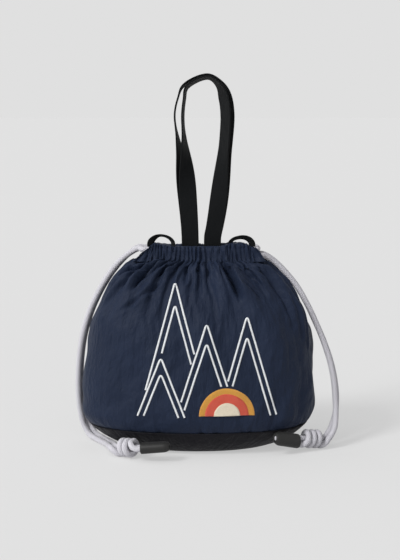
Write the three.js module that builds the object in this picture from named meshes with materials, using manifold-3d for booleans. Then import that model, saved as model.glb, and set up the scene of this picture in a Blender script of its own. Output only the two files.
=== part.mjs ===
// Nylon drawstring bag: a soft two-panel body on a dark base, gathered into two drawcord casings,
// with two tape handles, two pull loops, and two drawstrings that end in wrapped knots and sleeves.
// Millimetres, +X right, -Y front, +Z up. The origin is on the floor, under the middle of the bag.
import * as THREE from "three";
import { mergeVertices } from "three/addons/utils/BufferGeometryUtils.js";
import Module from "manifold-3d";

const wasm = await Module();
wasm.setup();

// Fits
const seamGap = 0.3; // between two pieces that are sewn or rest together
const cordPlay = 0.4; // around each drawstring in its channel

// Body: half sizes are measured to the outside of the cloth
const clothThickness = 1.5;
const floorHalfWidth = 74;
const floorHalfDepth = 42;
const bodyHalfWidth = 138;
const bodyHalfDepth = 76;
const widestHeight = 45;
const baseSeamHeight = 28;
const rimHeight = 239;
const mouthShift = 4; // the gathered mouth sits a little to the right of the base
const cornerRoundness = 1.7;
const fullShoulder = { fullness: 2.8, drop: 0.7 };
const rightShoulder = { fullness: 3.2, drop: 1 }; // the right shoulder slopes more evenly
const floorSquareness = 2.1;
const bodySquareness = 2.4;
const mouthSquareness = 5;

// Gathers under the casings, the same number in each panel and casing
const gatherCount = 14;

// The folds that fan out below the rim: where each lies, from 0 at the left seam to 1 at the right,
// half its width there, its height and how far down it reaches
const frontFolds = [
  [0.045, 0.04, 3.0, 60],
  [0.12, 0.042, 4.5, 66],
  [0.2, 0.042, 5.0, 62],
  [0.272, 0.036, 4.6, 54],
  [0.335, 0.034, 3.6, 62],
  [0.4, 0.036, 3.4, 40],
  [0.465, 0.034, 3.0, 36],
  [0.528, 0.034, 3.4, 34],
  [0.597, 0.044, 6.0, 66],
  [0.705, 0.05, 6.4, 64],
  [0.812, 0.046, 4.6, 58],
  [0.893, 0.04, 4.0, 66],
  [0.96, 0.036, 3.0, 60],
];
const backFolds = [
  [0.05, 0.04, 3.2, 58],
  [0.13, 0.044, 5.0, 66],
  [0.215, 0.042, 4.4, 50],
  [0.29, 0.038, 4.8, 60],
  [0.365, 0.04, 5.4, 64],
  [0.44, 0.036, 3.6, 42],
  [0.51, 0.036, 4.6, 56],
  [0.58, 0.036, 3.8, 44],
  [0.655, 0.042, 5.2, 64],
  [0.735, 0.04, 4.6, 52],
  [0.815, 0.042, 5.0, 62],
  [0.89, 0.036, 3.6, 50],
  [0.955, 0.038, 3.2, 58],
];
const casingGatherDepth = 1.8;

// Drawstrings and the casings that they run in
const cordDiameter = 7;
const casingHalfLength = 63;
const casingWall = 1.4;
const mouthGap = 14; // clear width between the two casings
const panelTuck = 3; // how far a panel's top edge reaches in under its casing
const drawTravel = 45; // how far each drawstring pulls out
const crossingReach = 6; // how far a drawstring swings out past a side slit to cross it

// Tapes
const handleTapeWidth = 20;
const handleTapeThickness = 1.6;
const handleFootSpread = 13; // middle of each leg, from the handle's middle
const frontLoop = { left: 21.5, right: 28, height: 191.7, lean: 2, leftTurn: 83 };
const backLoop = { left: 31, right: 32.5, height: 193.7, lean: 2, leftTurn: 89 };
const crownShift = 8; // the top of each loop leans to the right
const crownTurn = 79; // how far the tape has turned from face on at the top, in degrees
const rightTurn = 57; // and in the upper part of the right leg
const handleLift = 0.6; // clearance between a folded handle and the top of its casing
const pullTapeWidth = 8;
const pullTapeThickness = 1.4;
const pullLoopSpan = 28;
const pullLoopHeight = 12;
const pullLoopInset = 3; // from the casing's end to the outside of the loop
const bindingWidth = 10;
const bindingThickness = 1.2;

// Knots and cord ends
const wrapPitch = 7.8;
const wrapPlay = 0.7; // between the wraps and the strand that they hold
const leadIn = { length: 9, turn: 0.2 }; // where the wrapped strand turns into the wraps
const leadOut = { length: 7, turn: 0.17 }; // and where it turns out of them again
const sleeveLength = 33;
const sleeveWidth = 17;
const sleeveHeight = 12.6;
const sleeveTaper = 0.72;
const sleeveTipLength = 5;
const sleeveFloor = 2;
const sleeveSetback = 3; // from the knot's end to the sleeve
const tipHoleRadius = 2.2;

// What follows from them
const cordRadius = cordDiameter / 2;
const channelHeight = 2 * cordDiameter + 3 * cordPlay;
const channelDepth = cordDiameter + 2 * cordPlay;
const casingHeight = channelHeight + 2 * casingWall;
const casingDepth = channelDepth + 2 * casingWall;
const casingBottom = rimHeight - casingHeight;
const neckHeight = casingBottom - seamGap;
const neckHalfWidth = casingHalfLength + panelTuck;
const neckHalfDepth = mouthGap / 2 + casingDepth - panelTuck;
const channelY = mouthGap / 2 + casingWall + channelDepth / 2;
const upperLane = rimHeight - casingWall - cordPlay - cordRadius;
const lowerLane = upperLane - cordDiameter - cordPlay;

const colours = {
  navy: { color: 0x2a3247, roughness: 0.62 },
  black: { color: 0x1b1b1f, roughness: 0.7 },
  tape: { color: 0x1e2123, roughness: 0.8 },
  binding: { color: 0x17181b, roughness: 0.85 },
  cord: { color: 0xb9b8bf, roughness: 0.9 },
  sleeve: { color: 0x2c2c2a, roughness: 0.5 },
};
const materials = Object.fromEntries(
  Object.entries(colours).map(([name, look]) => [
    name,
    new THREE.MeshStandardMaterial({ ...look, metalness: 0 }),
  ]),
);

const bag = new THREE.Group();
bag.name = "drawstring_bag";

function add(name, geometry, material) {
  const mesh = new THREE.Mesh(geometry, material);
  mesh.name = name;
  bag.add(mesh);
  return mesh;
}

const clamp01 = (v) => Math.min(1, Math.max(0, v));
const smooth = (v) => clamp01(v) ** 2 * (3 - 2 * clamp01(v));
const mix = (a, b, t) => a + (b - a) * t;

// Geometry from points and triangles, turned so that its faces point out
function closedGeometry(points, triangles) {
  let volume = 0;
  for (const [a, b, c] of triangles) {
    volume += points[a].dot(new THREE.Vector3().crossVectors(points[b], points[c]));
  }
  const order = volume < 0 ? triangles.map(([a, b, c]) => [a, c, b]) : triangles;
  const geometry = new THREE.BufferGeometry().setFromPoints(points);
  geometry.setIndex(order.flat());
  return geometry;
}

function toSolid(geometry) {
  const bare = geometry.clone();
  bare.deleteAttribute("normal");
  bare.deleteAttribute("uv");
  const merged = mergeVertices(bare, 1e-4);
  return new wasm.Manifold(
    new wasm.Mesh({
      numProp: 3,
      vertProperties: merged.attributes.position.array,
      triVerts: new Uint32Array(merged.index.array),
    }),
  );
}

function toGeometry(solid) {
  const mesh = solid.getMesh();
  const geometry = new THREE.BufferGeometry();
  geometry.setAttribute("position", new THREE.BufferAttribute(mesh.vertProperties, 3));
  geometry.setIndex(new THREE.BufferAttribute(mesh.triVerts, 1));
  return geometry;
}

// A solid lofted through convex sections that all have the same number of points
function loft(sections) {
  const count = sections[0].length;
  const points = sections.flat();
  const triangles = [];
  for (let i = 0; i + 1 < sections.length; i++) {
    for (let j = 0; j < count; j++) {
      const a = i * count + j;
      const b = i * count + ((j + 1) % count);
      triangles.push([a, b, a + count], [b, b + count, a + count]);
    }
  }
  const last = (sections.length - 1) * count;
  for (let j = 1; j + 1 < count; j++) {
    triangles.push([0, j + 1, j], [last, last + j, last + j + 1]);
  }
  return closedGeometry(points, triangles);
}

// A sheet with thickness between an outer and an inner grid of points. Where it is a closed ring,
// each row joins up with its own start.
function sheet(outer, inner, ring = false) {
  const rows = outer.length;
  const columns = outer[0].length;
  const points = [...outer.flat(), ...inner.flat()];
  const half = rows * columns;
  const triangles = [];
  const quad = (a, b, c, d) => triangles.push([a, b, c], [a, c, d]);
  const at = (i, j) => i * columns + (j % columns);
  const spans = ring ? columns : columns - 1;
  for (let j = 0; j < spans; j++) {
    for (let i = 0; i + 1 < rows; i++) {
      quad(at(i, j), at(i, j + 1), at(i + 1, j + 1), at(i + 1, j));
      quad(half + at(i, j), half + at(i + 1, j), half + at(i + 1, j + 1), half + at(i, j + 1));
    }
    quad(at(0, j), half + at(0, j), half + at(0, j + 1), at(0, j + 1));
    quad(at(rows - 1, j), at(rows - 1, j + 1), half + at(rows - 1, j + 1), half + at(rows - 1, j));
  }
  if (!ring) {
    const end = columns - 1;
    for (let i = 0; i + 1 < rows; i++) {
      quad(at(i, 0), at(i + 1, 0), half + at(i + 1, 0), half + at(i, 0));
      quad(at(i, end), half + at(i, end), half + at(i + 1, end), at(i + 1, end));
    }
  }
  return closedGeometry(points, triangles);
}

// Body surface: a superellipse at each height, round at the floor and drawn in at the shoulders
const climbAt = (z) => clamp01((z - widestHeight) / (neckHeight - widestHeight));

function profile(z, atFloor, widest, atNeck, shoulder = fullShoulder) {
  if (z < widestHeight) {
    const below = clamp01(1 - z / widestHeight);
    const filled = (1 - below ** cornerRoundness) ** (1 / cornerRoundness);
    return mix(atFloor, widest, filled);
  }
  return mix(atNeck, widest, (1 - climbAt(z) ** shoulder.fullness) ** shoulder.drop);
}

const outlines = new Map();

// The front half of the outline at a height, as points spaced evenly from the left seam to the right
function outlineAt(z) {
  if (outlines.has(z)) return outlines.get(z);
  const samples = 400;
  const widths = [floorHalfWidth, bodyHalfWidth, neckHalfWidth];
  const leftWidth = profile(z, ...widths);
  const rightWidth = profile(z, ...widths, rightShoulder);
  const halfDepth = profile(z, floorHalfDepth, bodyHalfDepth, neckHalfDepth);
  const square = mix(floorSquareness, bodySquareness, clamp01(z / widestHeight));
  const power = 2 / mix(square, mouthSquareness, climbAt(z) ** 3);
  const middle = mouthShift * smooth(climbAt(z));
  const points = [];
  for (let i = 0; i <= samples; i++) {
    const angle = (Math.PI * i) / samples;
    const across = Math.cos(angle);
    const halfWidth = across > 0 ? leftWidth : rightWidth;
    const x = middle - halfWidth * Math.sign(across) * Math.abs(across) ** power;
    points.push(new THREE.Vector2(x, -halfDepth * Math.sin(angle) ** power));
  }
  const lengths = [0];
  for (let i = 1; i <= samples; i++) {
    lengths.push(lengths[i - 1] + points[i].distanceTo(points[i - 1]));
  }
  const outline = { points, lengths };
  outlines.set(z, outline);
  return outline;
}

// A point of the front surface: across runs from 0 at the left seam to 1 at the right
function surfacePoint(across, z) {
  const { points, lengths } = outlineAt(z);
  const target = clamp01(across) * lengths[lengths.length - 1];
  let i = lengths.findIndex((length) => length >= target);
  i = Math.max(1, i);
  const t = (target - lengths[i - 1]) / (lengths[i] - lengths[i - 1]);
  const p = points[i - 1].clone().lerp(points[i], t);
  return new THREE.Vector3(p.x, Math.min(p.y, 0), z);
}

function surfaceNormal(across, z) {
  const step = 0.004;
  const rise = 0.25;
  const left = surfacePoint(across - step, z);
  const right = surfacePoint(across + step, z);
  const low = surfacePoint(across, Math.max(0, z - rise));
  const high = surfacePoint(across, Math.min(neckHeight, z + rise));
  const along = right.sub(left);
  // At a side seam the surface faces straight out, and the two halves meet in one plane
  if (across <= step || across >= 1 - step) along.set(0, across < 0.5 ? -1 : 1, 0);
  return along.cross(high.sub(low)).normalize();
}

// How far the folds stand out at a place on a panel
function foldHeight(folds, across, z) {
  const below = neckHeight - z;
  const heights = folds.map(([middle, halfWidth, height, reach]) => {
    const off = Math.min(1, Math.abs(across - middle) / halfWidth);
    const along = smooth(below / 8) * (1 - smooth((below - 0.2 * reach) / reach));
    return height * along * (0.5 + 0.5 * Math.cos(Math.PI * off));
  });
  return Math.max(...heights);
}

// A point at a depth under the body surface, on the front (side = -1) or the back (side = 1)
function bodyPoint(across, z, depth, side, edgeGap = 0) {
  const normal = surfaceNormal(across, z);
  const point = surfacePoint(across, z).addScaledVector(normal, -depth);
  if (depth <= clothThickness) {
    const level = new THREE.Vector3(normal.x, normal.y, 0).normalize();
    const way = level.lerp(normal, smooth((neckHeight - z) / 10));
    point.addScaledVector(way, foldHeight(side < 0 ? frontFolds : backFolds, across, z));
  }
  point.y = -side * Math.min(point.y - edgeGap, -edgeGap);
  return point;
}

const evenly = (count, from = 0, to = 1) =>
  Array.from({ length: count + 1 }, (_, i) => mix(from, to, i / count));

// Heights of a panel's rows, closer together in the gathers
const panelRows = [0, 0.08, 0.2, 0.36, 0.52, 0.66, 0.77, 0.855, 0.92, 0.965, 0.99, 1];
const panelRowHeights = panelRows.map((t) => mix(baseSeamHeight + seamGap, neckHeight, t));

// A panel's columns: one along each fold's ridge, one on each of its slopes and one in each valley
function panelColumns(folds) {
  const columns = [0, 1];
  folds.forEach(([middle, halfWidth], i) => {
    columns.push(middle - halfWidth / 2, middle, middle + halfWidth / 2);
    if (i > 0) columns.push((middle + folds[i - 1][0]) / 2);
  });
  return columns.sort((a, b) => a - b);
}

function makePanel(side) {
  const columns = panelColumns(side < 0 ? frontFolds : backFolds);
  const grid = (depth) =>
    panelRowHeights.map((z) =>
      columns.map((across) => bodyPoint(across, z, depth, side, seamGap / 2)),
    );
  return sheet(grid(0), grid(clothThickness));
}

// One turn round the body at a height: the front from left to right, then the back
function ringAt(z, depth, segments) {
  const half = evenly(segments).slice(0, -1);
  return [
    ...half.map((across) => bodyPoint(across, z, depth, -1)),
    ...half.map((across) => bodyPoint(1 - across, z, depth, 1)),
  ];
}

// The base is a shallow bowl: a flat floor that curves up to the seam
function makeBase() {
  const segments = 28;
  const heights = evenly(5).map((t) => baseSeamHeight * t ** 1.5);
  const outer = heights.map((z) => ringAt(z, 0, segments));
  const inner = heights.map((z) => ringAt(z, clothThickness, segments));
  inner[0].forEach((p) => p.setZ(clothThickness));
  const count = outer[0].length;
  const points = [...outer.flat(), ...inner.flat()];
  const half = outer.length * count;
  points.push(new THREE.Vector3(0, 0, 0), new THREE.Vector3(0, 0, clothThickness));
  const floorMiddle = points.length - 2;
  const insideMiddle = points.length - 1;
  const triangles = [];
  const quad = (a, b, c, d) => triangles.push([a, b, c], [a, c, d]);
  const rows = outer.length;
  for (let j = 0; j < count; j++) {
    const k = (j + 1) % count;
    for (let i = 0; i + 1 < rows; i++) {
      quad(i * count + j, i * count + k, (i + 1) * count + k, (i + 1) * count + j);
      quad(
        half + i * count + j,
        half + (i + 1) * count + j,
        half + (i + 1) * count + k,
        half + i * count + k,
      );
    }
    const top = (rows - 1) * count;
    quad(top + j, top + k, half + top + k, half + top + j);
    triangles.push([floorMiddle, k, j], [insideMiddle, half + j, half + k]);
  }
  return closedGeometry(points, triangles);
}

// Bound seam allowances: tape folded over the raw edges, standing inward from each seam
const bindingInside = clothThickness + 2 * seamGap;
const bindingEdge = bindingInside + bindingWidth;

function makeSideBinding(isRight) {
  const across = isRight ? 1 : 0;
  const lowest = baseSeamHeight + bindingWidth;
  const highest = neckHeight - bindingWidth;
  const heights = panelRowHeights.filter((z) => z > lowest && z < highest);
  const sections = heights.map((z) => {
    const outer = bodyPoint(across, z, bindingInside, -1);
    const inner = bodyPoint(across, z, bindingEdge, -1);
    const corner = (point, way) => point.clone().setY(way * bindingThickness);
    return [corner(outer, -1), corner(inner, -1), corner(inner, 1), corner(outer, 1)];
  });
  return loft(sections);
}

function makeBaseBinding() {
  const ring = (way, depth) => ringAt(baseSeamHeight + way * bindingThickness, depth, 28);
  const outer = [ring(-1, bindingInside), ring(1, bindingInside)];
  const inner = [ring(-1, bindingEdge), ring(1, bindingEdge)];
  return sheet(outer, inner, true);
}

// A casing is the folded hem that holds both drawstrings. Its outer face is gathered.
function makeCasing(side) {
  const corner = 2.5;
  const inner = mouthGap / 2;
  const sections = evenly(4 * gatherCount, -casingHalfLength, casingHalfLength).map((x) => {
    const across = (x + casingHalfLength) / (2 * casingHalfLength);
    const bulge = (casingGatherDepth / 2) * (1 - Math.cos(2 * Math.PI * gatherCount * across));
    const outer = inner + casingDepth + bulge;
    const outline = [
      [inner, casingBottom],
      [outer - corner, casingBottom],
      [outer, casingBottom + corner],
      [outer, rimHeight - corner],
      [outer - corner, rimHeight],
      [inner, rimHeight],
    ];
    return outline.map(([y, z]) => new THREE.Vector3(mouthShift + x, side * y, z));
  });
  const channel = new THREE.BoxGeometry(4 * casingHalfLength, channelDepth, channelHeight);
  channel.translate(mouthShift, side * channelY, (upperLane + lowerLane) / 2);
  return toGeometry(toSolid(loft(sections)).subtract(toSolid(channel)));
}

// Cords
function circle(radius, sides) {
  const points = evenly(sides).slice(0, -1).map((t) => {
    const angle = 2 * Math.PI * t;
    return new THREE.Vector2(radius * Math.cos(angle), radius * Math.sin(angle));
  });
  return new THREE.Shape(points);
}

// A stretch of a longer curve, between two lengths along it
class Stretch extends THREE.Curve {
  constructor(whole, from, to) {
    super();
    this.whole = whole;
    this.from = from / whole.getLength();
    this.to = to / whole.getLength();
  }

  getPoint(t, target = new THREE.Vector3()) {
    return this.whole.getPointAt(mix(this.from, this.to, t), target);
  }
}

function tubeAlong(curve, spacing, sides = 10) {
  const steps = Math.round(curve.getLength() / spacing);
  return new THREE.ExtrudeGeometry(circle(cordRadius, sides), {
    extrudePath: curve,
    steps,
    bevelEnabled: false,
  });
}

function through(points) {
  const curve = new THREE.CatmullRomCurve3(points, false, "centripetal");
  curve.arcLengthDivisions = 1200;
  return curve;
}

// How far along a curve its nearest point to a given one lies
function lengthTo(curve, point) {
  const steps = 1200;
  const nearest = evenly(steps).reduce((best, t) => {
    const gap = curve.getPointAt(t).distanceTo(point);
    return gap < best.gap ? { t, gap } : best;
  }, { t: 0, gap: Infinity });
  return nearest.t * curve.getLength();
}

// The part of a drawstring that stays in the casings: along the front one, round the far slit and
// back along the other. It begins where the part that slides ends.
const stubEnd = casingHalfLength - drawTravel - cordRadius;

function makeInnerRun(side, lane) {
  const start = stubEnd - seamGap;
  const reach = casingHalfLength + crossingReach;
  const front = [
    [-start, -channelY],
    [0, -channelY],
    [casingHalfLength * 0.7, -channelY],
    [casingHalfLength, -channelY],
    [casingHalfLength + 1.5, -channelY],
    [casingHalfLength + crossingReach * 0.8, -channelY * 0.7],
    [reach, -channelY * 0.3],
  ];
  const back = front.map(([x, y]) => [x, -y]).reverse();
  const points = [...front, ...back].map(
    ([x, y]) => new THREE.Vector3(mouthShift - side * x, y, lane),
  );
  return tubeAlong(through(points), 7, 8);
}

// A frame at a point: its x axis looks along a heading, turned about it by a roll, in degrees
function frameAt(x, y, z, yaw, pitch, roll) {
  const radians = THREE.MathUtils.degToRad;
  const turn = new THREE.Euler(radians(roll), radians(-pitch), radians(yaw), "ZYX");
  return new THREE.Matrix4().makeRotationFromEuler(turn).setPosition(x, y, z);
}

const place = (frame, x, y, z) => new THREE.Vector3(x, y, z).applyMatrix4(frame);

// In a knot's own frame, x runs to the sleeve and the held strand lies on the axis. The wrapped
// strand comes in beside it, winds round it, and goes on beside it into the sleeve. The leads on
// either side of the wraps bend toward y, by their own angles in degrees.
const wrapRadius = cordDiameter + wrapPlay;

// The two cord ends. A route point is x, y and z of the middle of the pair of strands and, between
// y and z, how far each strand lies to the side of it along x and along y.
const cordEnds = {
  left: {
    lane: upperLane,
    side: -1,
    wraps: 2.63,
    winds: 1,
    startAngle: 180,
    knot: frameAt(-81, -71, 12.4, -40, 7, 0),
    bendIn: 24,
    bendOut: 32,
    route: [
      [-69, 5, 0, 7.6, 234.3],
      [-80, 4, 0.3, 4.2, 228.2],
      [-92.5, 5, 1, 4, 217],
      [-105, 6, 1, 4, 201],
      [-117, 6, 1, 4, 181],
      [-127.5, 6.5, 1, 4, 158],
      [-136, 8, 1, 4, 130],
      [-140.5, 10, 1, 4, 102],
      [-142.5, 13, 1, 4, 74],
      [-142.5, 16, 1, 4, 52],
      [-139.5, 19, 2, 3.8, 31],
      [-134.5, 19, 3.1, 2.9, 15.5],
      [-127.5, 13, 3.7, 2, 6.5],
      [-119.5, 1, 3.7, 2, 4.6],
      [-111.5, -13, 3.7, 2, 4.6],
      [-104, -28, 3.7, 1.9, 5.2],
    ],
  },
  right: {
    lane: lowerLane,
    side: 1,
    wraps: 2.8,
    winds: -1,
    startAngle: 270,
    knot: frameAt(134, -35, 13, 210, 8, 90),
    bendIn: 42,
    bendOut: 6,
    route: [
      [78, 0, 0, 7.6, 225.8],
      [88, 0, 0, 4.2, 220],
      [101.5, -1, 0, 4, 207.3],
      [116.5, -3, 0, 4, 189],
      [128.5, -5, 0, 4, 168.5],
      [139, -7, 0, 4, 146.5],
      [149, -8, 0.3, 4, 123],
      [157, -9, 0.6, 4, 99],
      [161.8, -10, 0.9, 3.9, 76],
      [163.5, -12, 1, 3.9, 56],
      [163, -16, 0.2, 4.1, 39],
      [159, -23.5, -1.5, 3.8, 23],
    ],
  },
};

// One strand as far as its knot: a straight stub in the casing, then the free route
function strandPoints(end, isFront) {
  const away = isFront ? -1 : 1;
  const spots = [stubEnd, casingHalfLength / 2, casingHalfLength, casingHalfLength + 5];
  const stub = spots.map(
    (x) => new THREE.Vector3(mouthShift + end.side * x, away * channelY, end.lane),
  );
  const free = end.route.map(
    ([x, y, apartX, apartY, z]) => new THREE.Vector3(x + away * apartX, y + away * apartY, z),
  );
  return [...stub, ...free];
}

// A frame on the knot's axis, at a distance from the middle of the wraps
function axisFrame(end, x) {
  const half = (end.wraps * wrapPitch) / 2;
  if (Math.abs(x) <= half) {
    return end.knot.clone().multiply(new THREE.Matrix4().makeTranslation(x, 0, 0));
  }
  const way = Math.sign(x);
  const lead = way < 0 ? leadIn.length : leadOut.length;
  const bend = THREE.MathUtils.degToRad(way < 0 ? end.bendIn : end.bendOut) + 1e-6;
  const beyond = Math.abs(x) - half;
  const angle = bend * Math.min(1, beyond / lead);
  const radius = lead / bend;
  const straight = Math.max(0, beyond - lead);
  const local = new THREE.Matrix4().makeRotationZ(way * angle);
  local.setPosition(
    way * (half + radius * Math.sin(angle) + straight * Math.cos(angle)),
    radius * (1 - Math.cos(angle)) + straight * Math.sin(angle),
    0,
  );
  return end.knot.clone().multiply(local);
}

const wholeTurn = (end) => leadIn.turn + end.wraps + leadOut.turn;
const strandAngle = (end, wound) => end.startAngle + 360 * end.winds * wound;

// How far the wrapped strand has wound round, in turns, at a distance from the middle
function woundAt(end, x) {
  const half = (end.wraps * wrapPitch) / 2;
  if (x < -half) {
    return leadIn.turn * clamp01((x + half + leadIn.length) / leadIn.length) ** 2;
  }
  if (x > half) {
    const left = clamp01((half + leadOut.length - x) / leadOut.length);
    return wholeTurn(end) - leadOut.turn * left ** 2;
  }
  return leadIn.turn + (x + half) / wrapPitch;
}

function wrappedPoint(end, x) {
  const angle = THREE.MathUtils.degToRad(strandAngle(end, woundAt(end, x)));
  const frame = axisFrame(end, x);
  return place(frame, 0, wrapRadius * Math.cos(angle), wrapRadius * Math.sin(angle));
}

const knotStart = (end) => -(end.wraps * wrapPitch) / 2 - leadIn.length;
const knotEnd = (end) => (end.wraps * wrapPitch) / 2 + leadOut.length;

// How far in the strands are laid in a sleeve. They enter it straight.
const inSleeve = [-1.5, 2, sleeveLength * 0.3, sleeveLength * 0.6];

// The held strand goes through the wraps, and into the sleeve
function heldPoints(end) {
  const spots = evenly(9, knotStart(end), knotEnd(end));
  return [
    ...spots.map((x) => place(axisFrame(end, x), 0, 0, 0)),
    ...inSleeve.map((x) => place(end.sleeve, x, -wrapRadius / 2, 0)),
  ];
}

function wrappedPoints(end) {
  const spots = evenly(36, knotStart(end), knotEnd(end));
  return [
    ...spots.map((x) => wrappedPoint(end, x)),
    ...inSleeve.map((x) => place(end.sleeve, x, wrapRadius / 2, 0)),
  ];
}

// The sleeve sits at the knot's end, over both strands
function placeSleeve(end) {
  const degrees = strandAngle(end, wholeTurn(end));
  const middle = frameAt(0, 0, 0, 0, 0, degrees);
  middle.setPosition(place(middle, 0, wrapRadius / 2, 0));
  return axisFrame(end, knotEnd(end) + sleeveSetback).multiply(middle);
}

// The sleeve is a flat tube with a bore for two strands and a hole in its narrow tip
function oval(halfWidth, halfHeight, sides) {
  return evenly(sides).slice(0, -1).map((t) => {
    const angle = 2 * Math.PI * (t + 0.5 / sides);
    const c = Math.cos(angle);
    const s = Math.sin(angle);
    return [
      halfWidth * Math.sign(c) * Math.abs(c) ** 0.8,
      halfHeight * Math.sign(s) * Math.abs(s) ** 0.9,
    ];
  });
}

function stadium(halfSpan, radius, sides) {
  return evenly(sides).slice(0, -1).map((t) => {
    const angle = 2 * Math.PI * (t + 0.5 / sides);
    const c = Math.cos(angle);
    return [Math.sign(c) * halfSpan + radius * c, radius * Math.sin(angle)];
  });
}

function makeSleeve(frame) {
  const ring = (x, outline) => outline.map(([y, z]) => new THREE.Vector3(x, y, z));
  const section = (x, share) =>
    ring(x, oval((sleeveWidth / 2) * share, (sleeveHeight / 2) * share, 20));
  const shell = loft([
    section(0, 0.96),
    section(0.8, 1),
    section(sleeveLength - sleeveTipLength, 0.97),
    section(sleeveLength - sleeveTipLength * 0.8, 0.9),
    section(sleeveLength - 0.6, sleeveTaper),
    section(sleeveLength, sleeveTaper * 0.92),
  ]);
  const boreOutline = stadium(wrapRadius / 2, cordRadius + cordPlay, 16);
  const boreDepth = sleeveLength - sleeveTipLength - sleeveFloor;
  const bore = loft([ring(-1, boreOutline), ring(boreDepth, boreOutline)]);
  const holeOutline = oval(tipHoleRadius * 1.3, tipHoleRadius, 10);
  const hole = loft([ring(boreDepth - 1, holeOutline), ring(sleeveLength + 1, holeOutline)]);
  const solid = toSolid(shell).subtract(toSolid(bore)).subtract(toSolid(hole));
  return toGeometry(solid).applyMatrix4(frame);
}

// Tapes: a flat strip swept along a path, its width turning with the path
function sweepTape(stations, width, thickness) {
  const sections = stations.map(({ point, tangent, across }) => {
    const face = new THREE.Vector3().crossVectors(tangent, across).normalize();
    const corner = (w, t) =>
      point.clone().addScaledVector(across, (w * width) / 2).addScaledVector(face, (t * thickness) / 2);
    return [corner(-1, -1), corner(1, -1), corner(1, 1), corner(-1, 1)];
  });
  return loft(sections);
}

const handleAxisY = mouthGap / 2 - seamGap - handleTapeThickness / 2;
const handleAxisZ = rimHeight + handleTapeThickness / 2 + handleLift;

// The handle's middle line, as shares of its spread and height, from each foot to the top
const handleShape = {
  left: [
    [0, 0],
    [0.06, 0.1],
    [0.2, 0.23],
    [0.56, 0.5],
    [0.82, 0.63],
    [1, 0.77],
    [0.78, 0.87],
    [0.44, 0.94],
  ],
  right: [
    [0, 0],
    [0.02, 0.04],
    [0.16, 0.1],
    [0.4, 0.23],
    [0.76, 0.5],
    [0.92, 0.63],
    [1, 0.77],
    [0.86, 0.87],
    [0.5, 0.95],
  ],
};

function makeHandle(side, loop) {
  const point = ([out, up], hand, halfWidth) =>
    new THREE.Vector3(
      mouthShift + hand * mix(handleFootSpread, halfWidth, out),
      side * mix(handleAxisY, loop.lean, up),
      handleAxisZ + loop.height * up,
    );
  const left = handleShape.left.map((spot) => point(spot, -1, loop.left));
  const right = handleShape.right.map((spot) => point(spot, 1, loop.right)).reverse();
  const top = new THREE.Vector3(
    mouthShift + crownShift,
    side * loop.lean,
    handleAxisZ + loop.height,
  );
  const curve = through([...left, top, ...right]);
  const steps = 52;
  const stations = evenly(steps).map((t) => {
    const place = curve.getPointAt(t);
    const up = (place.z - handleAxisZ) / loop.height;
    const isLeft = place.x < top.x;
    const nearTop = smooth((1 - up) / 0.13);
    const mostTurned = mix(crownTurn, isLeft ? loop.leftTurn : rightTurn, nearTop);
    const share = smooth((up - (isLeft ? 0.22 : 0.12)) / 0.5);
    const turned = THREE.MathUtils.degToRad(mostTurned) * share;
    const tangent = curve.getTangentAt(t);
    const away = tangent.clone().cross(new THREE.Vector3(0, 1, 0)).normalize();
    const across = new THREE.Vector3(0, Math.sin(turned), 0);
    across.addScaledVector(away, -Math.cos(turned));
    across.addScaledVector(tangent, -across.dot(tangent)).normalize();
    return { point: place, tangent, across };
  });
  const strip = sweepTape(stations, handleTapeWidth, handleTapeThickness);
  const foot = (hand) => {
    const pin = new THREE.CylinderGeometry(
      handleTapeThickness / 2,
      handleTapeThickness / 2,
      handleTapeWidth,
      12,
    );
    pin.rotateZ(Math.PI / 2);
    pin.translate(mouthShift + hand * handleFootSpread, side * handleAxisY, handleAxisZ);
    return toSolid(pin);
  };
  return toGeometry(toSolid(strip).add(foot(-1)).add(foot(1)));
}

// The sewn end of one handle leg, flat on the casing's inner face
function makeStrapEnd(side, hand) {
  const top = handleAxisZ - handleTapeThickness / 2 - seamGap;
  const bottom = casingBottom + casingWall;
  const end = new THREE.BoxGeometry(handleTapeWidth, handleTapeThickness, top - bottom);
  return end.translate(mouthShift + hand * handleFootSpread, side * handleAxisY, (top + bottom) / 2);
}

const pullAxisZ = rimHeight + seamGap + pullTapeWidth / 2;

// A pull loop stands on the front casing, and tilts about the line through its two round feet
function makePullLoop(hand) {
  const outerX = mouthShift + hand * (casingHalfLength - pullLoopInset);
  const middleX = outerX - (hand * pullLoopSpan) / 2;
  const half = pullLoopSpan / 2 - pullTapeThickness / 2;
  const y = -(mouthGap / 2 + casingDepth / 2);
  const top = rimHeight + pullLoopHeight - pullTapeThickness / 2;
  const stations = evenly(16).map((t) => {
    const angle = Math.PI * t;
    const point = new THREE.Vector3(
      middleX - half * Math.cos(angle),
      y,
      pullAxisZ + (top - pullAxisZ) * Math.sin(angle),
    );
    const tangent = new THREE.Vector3(half * Math.sin(angle), 0, (top - pullAxisZ) * Math.cos(angle));
    return { point, tangent: tangent.normalize(), across: new THREE.Vector3(0, 1, 0) };
  });
  const arch = sweepTape(stations, pullTapeWidth, pullTapeThickness);
  const foot = (way) => {
    const radius = pullTapeWidth / 2;
    const disc = new THREE.CylinderGeometry(radius, radius, pullTapeThickness, 16);
    disc.rotateZ(Math.PI / 2);
    disc.translate(middleX + way * half, y, pullAxisZ);
    return toSolid(disc);
  };
  return toGeometry(toSolid(arch).add(foot(-1)).add(foot(1)));
}

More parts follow.
